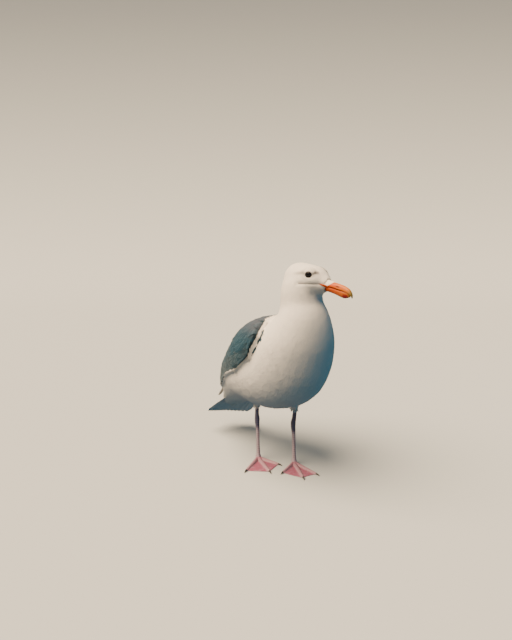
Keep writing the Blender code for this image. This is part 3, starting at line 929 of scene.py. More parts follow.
def roots_on_bill():
    forward = random_numbers.uniform(*BILL_BASE, BASE_TRIES)
    bend = random_numbers.uniform(0.06, math.pi - 0.06, BASE_TRIES)
    half_width = np.interp(forward, BILL_BASE, BASE_HALF_WIDTH)
    height = BASE_EDGE + (BASE_RIDGE - BASE_EDGE) * np.sin(bend) ** 0.82
    kept = forward < feather_line(height) + random_numbers.normal(0.0, 0.0002, BASE_TRIES)
    forward, bend, half_width, height = (v[kept] for v in (forward, bend, half_width, height))
    turn = np.array(head_frame.to_3x3())
    local = np.stack([half_width * np.cos(bend), -forward, height], axis=1)
    outward = np.stack([np.cos(bend), np.full(len(bend), -0.10), np.sin(bend)], axis=1)
    places = local @ turn.T + np.array(head_frame.translation)
    normals = unit(outward @ turn.T)
    back = np.tile(turn @ np.array((0.0, 1.0, 0.0)), (len(places), 1))
    return places, normals, along_surface(back, normals)


def roots_on_lids():
    places = []
    normals = []
    lies = []
    back = np.array(head_frame.to_3x3()) @ np.array((0.0, 1.0, 0.0))
    for side in SIDES:
        share = random_numbers.uniform(0.22, 0.95, LID_TUFTS)
        turn = random_numbers.uniform(0.0, 2 * math.pi, LID_TUFTS)
        here = on_lids(side, turn, share)
        outer = on_lids(side, turn, share + 0.05)
        beside = on_lids(side, turn + 0.05, share)
        away = unit(outer - here)
        up = np.cross(outer - here, beside - here)
        up *= np.sign(up @ np.array(EYE_AXES[side]))[:, None]
        up = unit(unit(up) + 0.6 * np.array(EYE_AXES[side]))
        places.append(here)
        normals.append(up)
        lies.append(along_surface(1.2 * away + 0.45 * back, up))
    return np.vstack(places), np.vstack(normals), np.vstack(lies)


on_skin = len(roots)
base_places, base_normals, base_lies = roots_on_bill()
lid_places, lid_normals, lid_lies = roots_on_lids()
roots = np.vstack([roots, base_places, lid_places])
root_normals = np.vstack([root_normals, base_normals, lid_normals])
root_lies = np.vstack([root_lies, base_lies, lid_lies])
base_sizes = np.tile(FACE_TUFT, (len(base_places), 1))
lid_sizes = np.tile(LID_TUFT, (len(lid_places), 1))
root_sizes = np.vstack([root_sizes, base_sizes, lid_sizes])
on_lid = np.arange(len(roots)) >= on_skin + len(base_places)
print("tufts in all:", len(roots))

# %% Shape the tufts
ROOT_SINK = 0.0004
STREAK_LENGTH = 0.011
STREAK_TURN = 0.30
SLEEK_RISE = (0.0, 0.84, 1.0, 0.74)  # share of the rise at the stations of a leaf
LOOSE_RISE = (0.0, 0.66, 0.95, 1.04)
ROUND_BY = 0.26
TIP_BY = 0.16
LOOSE_TURN = 0.16
BY_WING = (0.003, 0.011)  # distances from the wing over which the tufts turn short and broad
WING_SHORTER = 0.45
WING_BROADER = 0.25
WING_HIGHER = 0.20
THIGH_LOWER = 0.7
LID_LIFT = 0.0002
BASE_LIFT = 0.0007


def turned(directions, normals, angles):
    """Directions turned about their normals."""
    across = np.cross(normals, directions)
    return directions * np.cos(angles)[:, None] + across * np.sin(angles)[:, None]


def looseness(places, normals):
    """0 on the sleek head and breast, 1 on the belly, flanks and vent."""
    low = ramp(-places[:, 2], -0.225, -0.15)
    return np.clip(low * (0.35 + 0.65 * ramp(station(places)[0], 0.35, 0.8)), 0.0, 1.0)


streak = bumpy(roots, STREAK_LENGTH)
ripple = bumpy(roots, STREAK_LENGTH * 0.45, 31.0)
loose = looseness(roots, root_normals)
wander = (streak * STREAK_TURN + ripple * LOOSE_TURN) * (0.25 + 0.9 * loose)
wander += random_numbers.normal(0.0, 0.10, len(roots))
lie = turned(root_lies, root_normals, wander)
side_way = np.cross(root_normals, lie)
tuft_length = root_sizes[:, 0] * random_numbers.uniform(0.75, 1.2, len(roots))
tuft_width = root_sizes[:, 1] * random_numbers.uniform(0.75, 1.25, len(roots))
edge_of_eye = eye_ring(roots) - 0.0050
tuft_length = np.minimum(tuft_length, np.maximum(edge_of_eye * 1.05, 0.0013))
wing_tree = tree_of(np.flatnonzero(skin_wing > 0.5))
to_wing = np.array([wing_tree.find(Vector(place))[2] for place in roots])
by_wing = 1 - ramp(to_wing, *BY_WING)
tuft_length *= 1 - WING_SHORTER * by_wing
tuft_width *= 1 + WING_BROADER * by_wing
depth_here = plumage_depth(roots, np.zeros(len(roots)))
depth_here[on_skin:] = np.where(on_lid[on_skin:], LID_LIFT, BASE_LIFT)
rear_of_base = ramp(-seen_from_head(base_places)[0], -0.0305, -0.0250)
on_base = slice(on_skin, on_skin + len(base_places))
depth_here[on_base] += 0.0010 * rear_of_base
tuft_length[on_base] *= 1 + rear_of_base
ruffle = 0.05 + 0.30 * loose
lift = depth_here * (0.62 + ruffle * ripple + 0.46 * loose * (streak + 0.25))
lift += (0.00008 + 0.0004 * loose) * random_numbers.random(len(roots))
lift *= 1 + WING_HIGHER * by_wing
lift *= 1 - THIGH_LOWER * thigh_share(roots)
roll = random_numbers.normal(0.0, 0.05, len(roots))


def leaf_places(places, normals, lies, sides, length, width, rise, lean):
    """Corners of every leaf. Sleek leaves bend down at their tips and loose ones don't."""
    along, across, keel, _ = LEAF
    stops = [station_row[0] for station_row in TUFT_STATIONS]
    sleek = np.interp(along, stops, SLEEK_RISE)
    lifted = loose[:, None] * (np.interp(along, stops, LOOSE_RISE) - sleek)
    height = rise[:, None] * (sleek + lifted)
    height = height - ROOT_SINK * (1 - along)
    height = height + (TUFT_KEEL * width)[:, None] * keel
    height = height + (lean * width)[:, None] * across / 2
    reach = (length[:, None] * along)[:, :, None] * lies[:, None]
    spread = (width[:, None] * across / 2)[:, :, None] * sides[:, None]
    return places[:, None] + reach + spread + height[:, :, None] * normals[:, None]


tuft_corners = leaf_places(
    roots, root_normals, lie, side_way, tuft_length, tuft_width, lift, roll
)


def leaf_normals(normals, lies, sides, round_by, tip_by, lean):
    """Soft normals: mostly the body's own, a little rounded over each tuft."""
    along, across, _, _ = LEAF
    sideways = round_by * across + lean[:, None]
    onward = tip_by * (along - 0.5)
    tilted = normals[:, None] + sideways[:, :, None] * sides[:, None]
    return unit(tilted + onward[:, :, None] * lies[:, None])


lean_by = random_numbers.normal(0.0, 0.07, len(roots)) * (0.6 + loose)
tuft_normals = leaf_normals(
    root_normals, lie, side_way, ROUND_BY, np.full((len(roots), 1), TIP_BY), lean_by
)
print("corners:", tuft_corners.shape)

# %% A patch for each tuft in the UV map
PATCH = 0.003


def unwrap(places):
    """The body unrolled: how far down it a place is, and how far round it."""
    found, turn, _ = station(places)
    return np.stack([found, turn / (2 * math.pi) + 0.5], axis=1)


def patch_map(places, along, across):
    """A small patch for each tuft, at its root's place on the unrolled body."""
    centres = unwrap(places)
    low = centres.min(0)
    centres = PATCH + (centres - low) / (centres.max(0) - low) * (1 - 2 * PATCH)
    offsets = np.stack([along - 0.5, across / 2], axis=1) * PATCH
    return centres[:, None] + offsets


def add_map(mesh, name, per_corner_of_piece):
    """A UV map from one pair of numbers per vertex."""
    loops = np.empty(len(mesh.loops), np.int32)
    mesh.loops.foreach_get("vertex_index", loops)
    made = mesh.uv_layers.new(name=name)
    pairs = per_corner_of_piece.reshape(-1, 2)[loops]
    made.data.foreach_set("uv", pairs.astype(np.float32).ravel())


def mesh_of(name, corners, faces, normals=None):
    """A mesh from an array of (copies, corners, 3) and one copy's triangles."""
    copies, each = corners.shape[:2]
    mesh = bpy.data.meshes.new(name)
    indices = faces[None] + (np.arange(copies) * each)[:, None, None]
    mesh.vertices.add(copies * each)
    mesh.loops.add(indices.size)
    mesh.polygons.add(indices.size // 3)
    mesh.vertices.foreach_set("co", corners.astype(np.float32).ravel())
    mesh.loops.foreach_set("vertex_index", indices.astype(np.int32).ravel())
    mesh.polygons.foreach_set("loop_start", np.arange(0, indices.size, 3, dtype=np.int32))
    mesh.update(calc_edges=True)
    mesh.validate()
    mesh.shade_smooth()
    if normals is not None:
        mesh.normals_split_custom_set_from_vertices(normals.reshape(-1, 3))
    return mesh


def add_colour(mesh, name, values):
    """Four numbers per vertex, which the materials read."""
    made = mesh.attributes.new(name, "FLOAT_COLOR", "POINT")
    made.data.foreach_set("color", values.astype(np.float32).ravel())


print("maps ready")

# %% Materials of the white plumage
WHITE = (0.86, 0.81, 0.735)
WARM_WHITE = (0.89, 0.825, 0.735)
# painted shade at the roots of the tufts, and the tone of broad darker patches
ROOT_SHADE_AND_MOTTLE_WHITE = (0.80, 0.76, 0.70)
DUSKY_AND_FOLD_SHADE = (0.030, 0.028, 0.042)


def make_white(name):
    """Soft white: painted shade darkens the root, and each tuft is a little different."""
    made = new_material(name, WHITE, 0.82, Sheen_Weight=0.05, Specular_IOR_Level=0.12)
    tools = Nodes(made.node_tree)
    along, tint, dusk_and_fold_shade = tools.split(tools.attribute("plume", "Vector"))
    # painted shade: each tuft darker towards its root, where the tufts above shade it
    colour = tools.mix(tools.step(along, 0.0, 0.75), ROOT_SHADE_AND_MOTTLE_WHITE, WHITE)
    colour = tools.mix(tint, colour, WARM_WHITE)
    broad = tools.noise(tools.object_place(), 38.0)
    colour = tools.mix(tools.times(broad, 0.22), colour, ROOT_SHADE_AND_MOTTLE_WHITE)
    # dusky marks round the eyes, and painted shade along the mouth's fold
    colour = tools.mix(dusk_and_fold_shade, colour, DUSKY_AND_FOLD_SHADE)
    tools.set(shader_of(made)["Base Color"], colour)
    return made


white_plumage = make_white("white_plumage_finish")
print("white plumage finish ready")

# %% Dusky marks of the face, and painted shade along the mouth's fold
DUSK_BEHIND = ((-0.0070, 0.0128), (-0.0250, 0.0082))
DUSK_BEFORE = ((0.0050, 0.0134), (0.0105, 0.0150), (0.0155, 0.0146))
# Each line with how dark and how wide it is. Along the mouth's fold the darkening is painted shade
# in the crease.
DUSK_AND_FOLD_SHADE_LINES = (
    (DUSK_BEHIND, 0.55, 0.0026),
    (DUSK_BEFORE, 0.86, 0.0026),
    # painted shade in the crease of the fold
    (GAPE_FOLD, 0.80, 0.000988),
)
DUSK_STARTS = (-0.0290, -0.0120)  # forward, in the head's frame
DUSK_ENDS = (0.0090, 0.0175)
LID_DUSK = 0.12
DUSK_OUT = (0.0070, 0.0110)  # out from the middle of the head


def dusk_and_fold_shade_at(places):
    """How dark the small feathers are: dusky round the eyes, with painted shade along the mouth's
    fold.
    """
    dark = np.zeros(len(places))
    forward, _, out = seen_from_head(places)
    for sign in SIDES.values():
        for line, strength, width in DUSK_AND_FOLD_SHADE_LINES:
            away = line_distance(places, sign, line)
            here = strength * np.exp(-((away / width) ** 2))
            if line is not GAPE_FOLD:
                here *= ramp(forward, *DUSK_STARTS) * (1 - ramp(forward, *DUSK_ENDS))
            dark = np.maximum(dark, here)
    return dark * ramp(np.abs(out), *DUSK_OUT)


# %% Share the tufts out over the pieces
PIECE_LIMIT = 19500  # tufts in one piece
VENT_STATION = 0.74
BELLY_STATION = 0.35
BREAST_STATION = 0.42
NECK_BOTTOM = 0.262
CROWN_BOTTOM = 0.318
FACE_BOTTOM = 0.300
FACE_RADIUS = 0.042


def coat_region(places, normals):
    """The name of the piece that each tuft belongs to."""
    found = station(places)[0]
    names = np.where(places[:, 0] > 0, "coat_flank_left", "coat_flank_right")
    names = np.where(found > VENT_STATION, "coat_vent", names)
    names = np.where((normals[:, 2] < -0.45) & (found > BELLY_STATION), "coat_belly", names)
    names = np.where((found < BREAST_STATION) & (normals[:, 1] < -0.30), "coat_breast", names)
    names = np.where(places[:, 2] > NECK_BOTTOM, "coat_neck", names)
    names = np.where(places[:, 2] > CROWN_BOTTOM, "coat_crown", names)
    face = np.linalg.norm(places - BILL_ROOT, axis=1) < FACE_RADIUS
    return np.where(face & (places[:, 2] > FACE_BOTTOM), "coat_face", names)


root_region = coat_region(roots, root_normals)
root_dusk_and_shade = dusk_and_fold_shade_at(roots)
root_dusk_and_shade[on_lid] = np.maximum(root_dusk_and_shade[on_lid], LID_DUSK)
root_tint = random_numbers.random(len(roots))
for region in sorted(set(root_region)):
    chosen = np.flatnonzero(root_region == region)
    shares = -(-len(chosen) // PIECE_LIMIT)
    for share in range(shares):
        part = chosen[share::shares]
        name = region if shares == 1 else f"{region}_{share + 1}"
        mesh = mesh_of(name, tuft_corners[part], LEAF[3], tuft_normals[part])
        add_map(mesh, "OFBake", patch_map(roots[part], LEAF[0], LEAF[1]))
        values = np.zeros((len(part), len(LEAF[0]), 4))
        values[:, :, 0] = LEAF[0]
        values[:, :, 1] = root_tint[part, None]
        values[:, :, 2] = root_dusk_and_shade[part, None]
        add_colour(mesh, "plume", values)
        piece = link(name, mesh)
        piece.data.materials.append(white_plumage)
        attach(piece, "root")
        print(name, len(part), "tufts")

# %% Skin finish
SKIN_WHITE = (0.78, 0.76, 0.73)
SKIN_SLATE = (0.010, 0.034, 0.050)
skin_finish = new_material("skin_finish", SKIN_WHITE, 0.9)
tools = Nodes(skin_finish.node_tree)
colour = tools.mix(tools.attribute("grey", "Fac"), SKIN_WHITE, SKIN_SLATE)
tools.set(shader_of(skin_finish)["Base Color"], colour)
skin.data.materials.append(skin_finish)

# %% [markdown]
# ## Wing feathers
# The folded wing is roofed with firm, rounded feathers. Short ones lie over the shoulder and
# back, longer ones behind, and each covers the root of the next. A sculpted surface could
# suggest them, but real overlaps catch the light along their edges, so every vane is a thin
# curved sheet laid on the skin: its root lies in it and its tip a little above.

# %% One vane, flat
VANE_COLUMNS = 4
VANE_ROWS = 8


def vane_template():
    """Along and across (-1 to 1) of each corner of a grid, and its triangles."""
    shape = bmesh.new()
    bmesh.ops.create_grid(shape, x_segments=VANE_COLUMNS, y_segments=VANE_ROWS, size=0.5)
    bmesh.ops.triangulate(shape, faces=shape.faces)
    shape.verts.ensure_lookup_table()
    along = np.array([vert.co.y + 0.5 for vert in shape.verts])
    across = np.array([vert.co.x * 2 for vert in shape.verts])
    faces = np.array([[vert.index for vert in face.verts] for face in shape.faces])
    shape.free()
    return along, across, faces


VANE = vane_template()
print("one vane has", len(VANE[0]), "corners and", len(VANE[2]), "triangles")

# %% Lay a vane on the skin
ROUNDED_END = (
    (0.0, 0.40), (0.15, 0.75), (0.4, 1.0), (0.62, 0.96), (0.8, 0.78), (0.92, 0.48), (1.0, 0.12)
)
VANE_ROOT_SINK = 0.0006
VANE_CAMBER = 0.0005
VANE_BED = 0.0003


def width_at(along, outline):
    stops, widths = zip(*outline)
    return np.interp(along, stops, widths)


def lay_vane(root, way, length, width, rise, tilt=0.0, outline=ROUNDED_END):
    """Corners of a vane that starts at a place on the skin and follows it."""
    along, across, _ = VANE
    stops = np.unique(np.round(along, 5))
    corners = np.empty((len(along), 3))
    centre = Vector(root)
    heading = Vector(way)
    done = 0.0
    for stop in stops:
        centre = centre + heading * (stop - done) * length
        done = stop
        near, normal, _, _ = SKIN_TREE.find_nearest(centre)
        centre = near
        heading = (heading - normal * heading.dot(normal)).normalized()
        sideways = normal.cross(heading)
        half = width * float(width_at(stop, outline)) / 2
        for corner in np.flatnonzero(np.abs(along - stop) < 1e-4):
            out = across[corner]
            place, up, _, _ = SKIN_TREE.find_nearest(centre + sideways * half * out)
            up = (up + normal).normalized()
            height = rise * stop + VANE_BED - VANE_ROOT_SINK * (1 - stop) ** 4
            height += tilt * out * stop - VANE_CAMBER * out * out * stop
            corners[corner] = place + up * height
    return corners


def spaced(places, ways, normals, lengths, widths, apart, beside):
    """Picks places in turn that keep clear of those picked before, like tiles on a roof."""
    sides = np.cross(normals, ways)
    picked = []
    for here in range(len(places)):
        gap = places[picked] - places[here]
        run = gap @ ways[here] / (apart * lengths[here])
        out = gap @ sides[here] / (beside * widths[here])
        if not np.any(run**2 + out**2 + (gap @ normals[here] / 0.02) ** 2 < 1):
            picked.append(here)
    return np.array(picked)


print("vane helpers ready")

# %% Where the feathers of the wing grow
TIER_LINE = ((-0.115, 0.250), (-0.085, 0.230), (-0.024, 0.199), (0.050, 0.168), (0.150, 0.130))
WING_FRONT = -0.115
WING_REAR = 0.110
WING_CANDIDATES = 9000
WING_APART = 0.21  # clear space down and across, as shares of length and width
WING_BESIDE = 0.47


def above_tiers(places):
    """How far above the edge of the shoulder feathers a place is, in metres."""
    line_y, line_z = zip(*TIER_LINE)
    return places[:, 2] - np.interp(places[:, 1], line_y, line_z)


def wing_sizes(places):
    """Length and width of the wing's feathers: larger towards the tail."""
    back = np.clip((places[:, 1] - WING_FRONT) / (WING_REAR - WING_FRONT), 0.0, 1.0)
    shoulder = above_tiers(places) > 0
    length = np.where(shoulder, 0.019 + 0.024 * back, 0.018 + 0.030 * back)
    width = np.where(shoulder, 0.0088 + 0.0070 * back, 0.0072 + 0.0060 * back)
    return length, width


face_wing = vane_ground[skin_triangles].mean(1)
wing_roots, wing_normals = scatter(WING_CANDIDATES, (face_wing > 0.4).astype(float))
front_first = np.argsort(wing_roots[:, 1] + random_numbers.normal(0.0, 0.003, WING_CANDIDATES))
wing_roots = wing_roots[front_first]
wing_normals = wing_normals[front_first]
wing_lie = lie_of(wing_roots, wing_normals)
outward = np.sign(wing_roots[:, 0])[:, None] * np.array([[1.0, 0.0, 0.0]])
wing_lie = along_surface(wing_lie - 0.10 * outward, wing_normals)
wing_turn = 0.14 * bumpy(wing_roots, 0.03) + random_numbers.normal(0.0, 0.05, WING_CANDIDATES)
wing_lie = turned(wing_lie, wing_normals, wing_turn)
wing_length, wing_width = wing_sizes(wing_roots)
kept = spaced(
    wing_roots, wing_lie, wing_normals, wing_length, wing_width, WING_APART, WING_BESIDE
)
print("wing feathers:", len(kept))

# %% Grain of a feather
def new_group(name, inputs, outputs):
    """An empty node group with numbers in and out."""
    group = bpy.data.node_groups.new(name, "ShaderNodeTree")
    for socket, value in inputs.items():
        made = group.interface.new_socket(socket, in_out="INPUT", socket_type="NodeSocketFloat")
        made.default_value = value
    for socket in outputs:
        group.interface.new_socket(socket, in_out="OUTPUT", socket_type="NodeSocketFloat")
    tools = Nodes(group)
    return group, tools, tools.add("NodeGroupInput").outputs, tools.add("NodeGroupOutput").inputs


def make_barbs():
    """Barbs run out and back from the shaft. Puts out their height, the shaft and the fringe."""
    inputs = {"Along": 0.0, "Across": 0.0, "Length": 0.03, "Width": 0.012, "Spacing": 0.0009}
    group, tools, given, out = new_group("feather_barbs", inputs, ("Height", "Shaft", "Fringe"))
    side = tools.maths("ABSOLUTE", given["Across"])
    run = tools.times(given["Along"], given["Length"])
    slope = tools.times(tools.times(side, given["Width"]), 0.9)
    phase = tools.maths("DIVIDE", tools.maths("SUBTRACT", run, slope), given["Spacing"])
    barb = tools.maths("SINE", tools.times(phase, 2 * math.pi))
    shaft = tools.opposite(tools.step(side, 0.02, 0.10))
    tools.set(out["Height"], tools.maths("MULTIPLY_ADD", barb, 0.25, shaft))
    tools.set(out["Shaft"], shaft)
    rounding = tools.times(side, tools.step(given["Along"], 0.25, 0.85))
    edge = tools.step(rounding, 0.62, 0.95)
    end = tools.step(given["Along"], 0.86, 0.98)
    tools.set(out["Fringe"], tools.maths("MAXIMUM", edge, end))
    return group


feather_barbs = make_barbs()
print("group:", feather_barbs.name)

# %% Slate finish of the wing
SLATE = (0.008, 0.044, 0.076)
SLATE_DEEP = (0.005, 0.023, 0.038)
SLATE_PALE = (0.060, 0.115, 0.155)
MANTLE_PAINTED_LIGHT = (0.115, 0.115, 0.150)
MANTLE_LIGHT_RISE = (0.238, 0.276)  # heights between which painted light makes the upper mantle paler
TIP_WHITE = (0.74, 0.73, 0.70)


def make_vane_finish(name, base, deep, pale, fringe, tip_start, roughness, mantle=False):
    """Base colour with painted shade at the root, a pale fringe and, past tip_start, a white tip.
    """
    made = new_material(name, base, roughness, Sheen_Weight=0.04, Specular_IOR_Level=0.18)
    tools = Nodes(made.node_tree)
    across, along, tint = tools.split(tools.attribute("vane"))
    size = tools.split(tools.attribute("vane_size"))
    barbs = tools.group(
        feather_barbs, Along=along, Across=across, Length=size[0], Width=size[1], Spacing=0.0011
    )
    # painted shade: each vane darker towards its root, under the vane that covers it
    colour = tools.mix(tools.step(along, 0.25, 0.80), deep, base)
    # painted light: the shoulder feathers turn paler higher up, where the light falls
    if mantle:
        up = tools.step(tools.split(tools.object_place())[2], *MANTLE_LIGHT_RISE)
        colour = tools.mix(tools.times(up, 0.8), colour, MANTLE_PAINTED_LIGHT)
    mottle = tools.noise(tools.object_place(), 60.0)
    colour = tools.mix(tools.times(mottle, 0.35), colour, deep)
    colour = tools.mix(tools.times(tint, 0.30), colour, pale)
    colour = tools.mix(tools.times(barbs["Shaft"], 0.55), colour, deep)
    colour = tools.mix(tools.times(barbs["Fringe"], fringe), colour, pale)
    white = tools.step(along, tip_start, tip_start + 0.05)
    colour = tools.mix(white, colour, TIP_WHITE)
    sockets = shader_of(made)
    tools.set(sockets["Base Color"], colour)
    tools.set(sockets["Normal"], tools.bump(barbs["Height"], 0.5, 0.00025))
    return made


NO_TIP = 2.0  # past the end of any vane
COVERT_SLATE = (0.008, 0.036, 0.058)
COVERT_DEEP = (0.004, 0.018, 0.030)
COVERT_PALE = (0.10, 0.145, 0.175)
TERTIAL_SLATE = (0.014, 0.046, 0.068)
FLIGHT_BLACK = (0.020, 0.022, 0.026)
FLIGHT_DEEP = (0.008, 0.009, 0.011)
FLIGHT_PALE = (0.10, 0.10, 0.11)
TAIL_WHITE = (0.78, 0.765, 0.73)
TAIL_DEEP_AND_SHADE = (0.62, 0.62, 0.60)
TAIL_PALE = (0.84, 0.82, 0.78)
shoulder_finish = make_vane_finish(
    "shoulder_finish", SLATE, SLATE_DEEP, SLATE_PALE, 0.30, NO_TIP, 0.62, mantle=True
)
covert_finish = make_vane_finish(
    "covert_finish", COVERT_SLATE, COVERT_DEEP, COVERT_PALE, 0.50, NO_TIP, 0.62
)
tertial_finish = make_vane_finish(
    "tertial_finish", TERTIAL_SLATE, SLATE_DEEP, SLATE_PALE, 0.5, 0.90, 0.60
)
primary_finish = make_vane_finish(
    "primary_finish", FLIGHT_BLACK, FLIGHT_DEEP, FLIGHT_PALE, 0.5, 0.945, 0.52
)
tail_finish = make_vane_finish(
    "tail_finish", TAIL_WHITE, TAIL_DEEP_AND_SHADE, TAIL_PALE, 0.6, NO_TIP, 0.8
)
print("vane finishes ready")

# %% Vane pieces


def vane_piece(name, corners, sizes, finish, thickness=0.0, replaced=()):
    """One piece from many vanes, each with its own cell in the UV map."""
    along, across, faces = VANE
    count = len(corners)
    mesh = mesh_of(name, np.array(corners), faces)
    cells = math.ceil(math.sqrt(count))
    cell = np.stack([np.arange(count) % cells, np.arange(count) // cells], axis=1)
    inside = np.stack([across / 2 + 0.5, along], axis=1) * 0.92 + 0.04
    add_map(mesh, "OFBake", (cell[:, None] + inside[None]) / cells)
    values = np.zeros((count, len(along), 4))
    values[:, :, 0] = across
    values[:, :, 1] = along
    values[:, :, 2] = random_numbers.random(count)[:, None]
    add_colour(mesh, "vane", values)
    measures = np.zeros((count, len(along), 4))
    measures[:, :, :2] = np.array(sizes)[:, None]
    add_colour(mesh, "vane_size", measures)
    piece = link(name, mesh)
    piece.data.materials.append(finish)
    if thickness:
        wall = piece.modifiers.new("thickness", "SOLIDIFY")
        wall.thickness = thickness
        wall.offset = 0.0
        apply_modifiers(piece)
    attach(piece, "root")
    if replaced:
        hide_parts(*replaced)
    print(name, count, "vanes")
    return piece


wing_tier = above_tiers(wing_roots)
for name, chosen, rise, finish in (
    ("wing_coverts", wing_tier[kept] <= 0, 0.0011, covert_finish),
    ("wing_shoulders", wing_tier[kept] > 0, 0.0019, shoulder_finish),
):
    laid = []
    sizes = []
    for here in kept[chosen]:
        size = random_numbers.uniform(0.88, 1.12)
        length = wing_length[here] * size
        width = wing_width[here] * size
        tilt = 0.0003 * random_numbers.uniform(-1.0, 1.0)
        lift_here = rise * random_numbers.uniform(0.8, 1.2)
        laid.append(lay_vane(wing_roots[here], wing_lie[here], length, width, lift_here, tilt))
        sizes.append((length, width))
    vane_piece(name, laid, sizes, finish)

# %% [markdown]
# ## Tertials, flight feathers and tail
# The rear of the folded wing is a stack of long tertials with white tips. The black primaries
# come out from under them, and the white tail lies below in a closed fan. These are long vanes.
# Tertials follow the skin, while primaries and tail feathers stand free, so they get a real
# thickness.

# %% Tertials
TERTIAL_OUTLINE = (
    (0.0, 0.45), (0.12, 0.85), (0.35, 1.0), (0.7, 0.95), (0.86, 0.78), (0.95, 0.50), (1.0, 0.12),
)
# For each: start along y, turn out from the top of the back in degrees, length, width.
TERTIAL_ROWS = (
    (0.020, 30.0, 0.088, 0.026),
    (0.012, 46.0, 0.088, 0.025),
    (0.006, 60.0, 0.086, 0.023),
    (0.000, 73.0, 0.080, 0.021),
    (-0.006, 85.0, 0.070, 0.019),
)
TERTIAL_HUB = 0.150  # height of the line that the turns are measured from

for side, sign in SIDES.items():
    laid = []
    sizes = []
    for start, degrees, length, width in reversed(TERTIAL_ROWS):
        out = math.radians(degrees)
        way = Vector((sign * math.sin(out), 0.0, math.cos(out)))
        hub = Vector((0.0, start, TERTIAL_HUB))
        place, normal, _, _ = SKIN_TREE.ray_cast(hub + way * 0.2, -way)
        heading = Vector((-0.10 * sign, 1.0, -0.48))
        rise = 0.0026 - 0.0011 * degrees / 90
        laid.append(lay_vane(place, heading, length, width, rise, outline=TERTIAL_OUTLINE))
        sizes.append((length, width))
    vane_piece(f"tertials_{side}", laid, sizes, tertial_finish)

# %% Primaries
PRIMARY_PATH = (
    (0.0444, 0.0460, 0.164),
    (0.0844, 0.0330, 0.143),
    (0.1244, 0.0220, 0.120),
    (0.1594, 0.0140, 0.100),
    (0.1924, 0.0090, 0.082),
    (0.2124, 0.0065, 0.071),
)
PRIMARY_ENDS = (0.2112, 0.2050, 0.1945, 0.1815, 0.1680, 0.1540)  # y of each tip, outermost first
PRIMARY_WIDTH = 0.0125
PRIMARY_LEAN = 30.0
PRIMARY_LAYER = 0.0009
PRIMARY_STEP = 0.0016  # each lies this much higher on the stack than the one outside it
PRIMARY_BOW = 0.0008
PRIMARY_LENGTH = 0.16  # for the barbs
PRIMARY_OUTLINE = (
    (0.0, 1.0), (0.55, 1.0), (0.8, 0.82), (0.92, 0.55), (0.975, 0.34), (1.0, 0.10),
)
FLIGHT_THICKNESS = 0.0004


def strip(path, wide, thin, half_width, outline, bow):
    """Corners of a free vane along a path, with its width along one vector."""
    along, across, _ = VANE
    stops = np.linspace(0.0, 1.0, len(path))
    centre = np.stack([np.interp(along, stops, path[:, k]) for k in range(3)], axis=1)
    reach = half_width * width_at(along, outline) * across
    return centre + reach[:, None] * wide - (bow * across**2)[:, None] * thin


def smooth_path(rows, steps):
    """A finer path through given places."""
    rows = np.array(rows)
    stops = np.concatenate([[0.0], np.cumsum(np.linalg.norm(np.diff(rows, axis=0), axis=1))])
    fine = np.linspace(0.0, stops[-1], steps)
    return np.stack([np.interp(fine, stops, rows[:, k]) for k in range(3)], axis=1)


for side, sign in SIDES.items():
    lean = math.radians(PRIMARY_LEAN)
    wide = np.array([-sign * math.sin(lean), 0.0, math.cos(lean)])
    thin = np.array([sign * math.cos(lean), 0.0, math.sin(lean)])
    laid = []
    sizes = []
    full = np.array([(sign * x, y, z) for y, x, z in PRIMARY_PATH])
    for place, end in enumerate(PRIMARY_ENDS):
        keep = full[full[:, 1] < end]
        tip = [np.interp(end, full[:, 1], full[:, k]) for k in range(3)]
        path = smooth_path(np.vstack([keep, tip]), 12)
        path = path + thin * PRIMARY_LAYER * (place - 2.5)
        path = path + wide * PRIMARY_STEP * (place - 2.5)
        laid.append(strip(path, wide, thin, PRIMARY_WIDTH, PRIMARY_OUTLINE, PRIMARY_BOW))
        sizes.append((PRIMARY_LENGTH, PRIMARY_WIDTH * 2))
    vane_piece(
        f"primary_feathers_{side}", laid, sizes, primary_finish,
        FLIGHT_THICKNESS, (f"primaries_{side}",),
    )

# %% Tail
TAIL_ROOT = Vector((0.0, 0.0544, 0.118))
TAIL_TIP = Vector((0.0, 0.1844, 0.036))
TAIL_ROLL = 9.0
TAIL_HALF_WIDTHS = (0.026, 0.050)
TAIL_FEATHERS = 12
TAIL_ROUNDING = 0.014
TAIL_DROOP = 0.003
TAIL_LAYER = 0.00042
TAIL_FEATHER_HALF = 0.0078
TAIL_BOW = 0.0004
TAIL_TILT = 0.05
TAIL_SIZE = (0.15, 0.015)  # length and width of one feather, for its barbs
TAIL_OUTLINE = ((0.0, 0.75), (0.5, 0.92), (0.85, 1.0), (0.94, 0.90), (0.98, 0.66), (1.0, 0.30))

run = TAIL_TIP - TAIL_ROOT
back = run.normalized()
across_tail = Matrix.Rotation(math.radians(TAIL_ROLL), 3, back) @ Vector((1, 0, 0))
tail_up = np.array(across_tail.cross(back))
if tail_up[2] < 0:
    tail_up = -tail_up
laid = []
sizes = []
for number in range(TAIL_FEATHERS):
    out = (number - (TAIL_FEATHERS - 1) / 2) / (TAIL_FEATHERS / 2)
    path = []
    for share in np.linspace(0.0, 1.0, 9):
        half = TAIL_HALF_WIDTHS[0] + (TAIL_HALF_WIDTHS[1] - TAIL_HALF_WIDTHS[0]) * share**0.8
        point = TAIL_ROOT + run * share + across_tail * (half * out * 0.93)
        point = point - back * (TAIL_ROUNDING * share * out**2)
        point.z -= TAIL_DROOP * share * out**2
        path.append(point)
    path = np.array(path) + tail_up * TAIL_LAYER * (2.6 - abs(out) * TAIL_FEATHERS / 2)
    tilt = math.copysign(TAIL_TILT, out)
    wide = np.array(across_tail) - tilt * tail_up
    laid.append(strip(path, wide, tail_up, TAIL_FEATHER_HALF, TAIL_OUTLINE, TAIL_BOW))
    sizes.append(TAIL_SIZE)
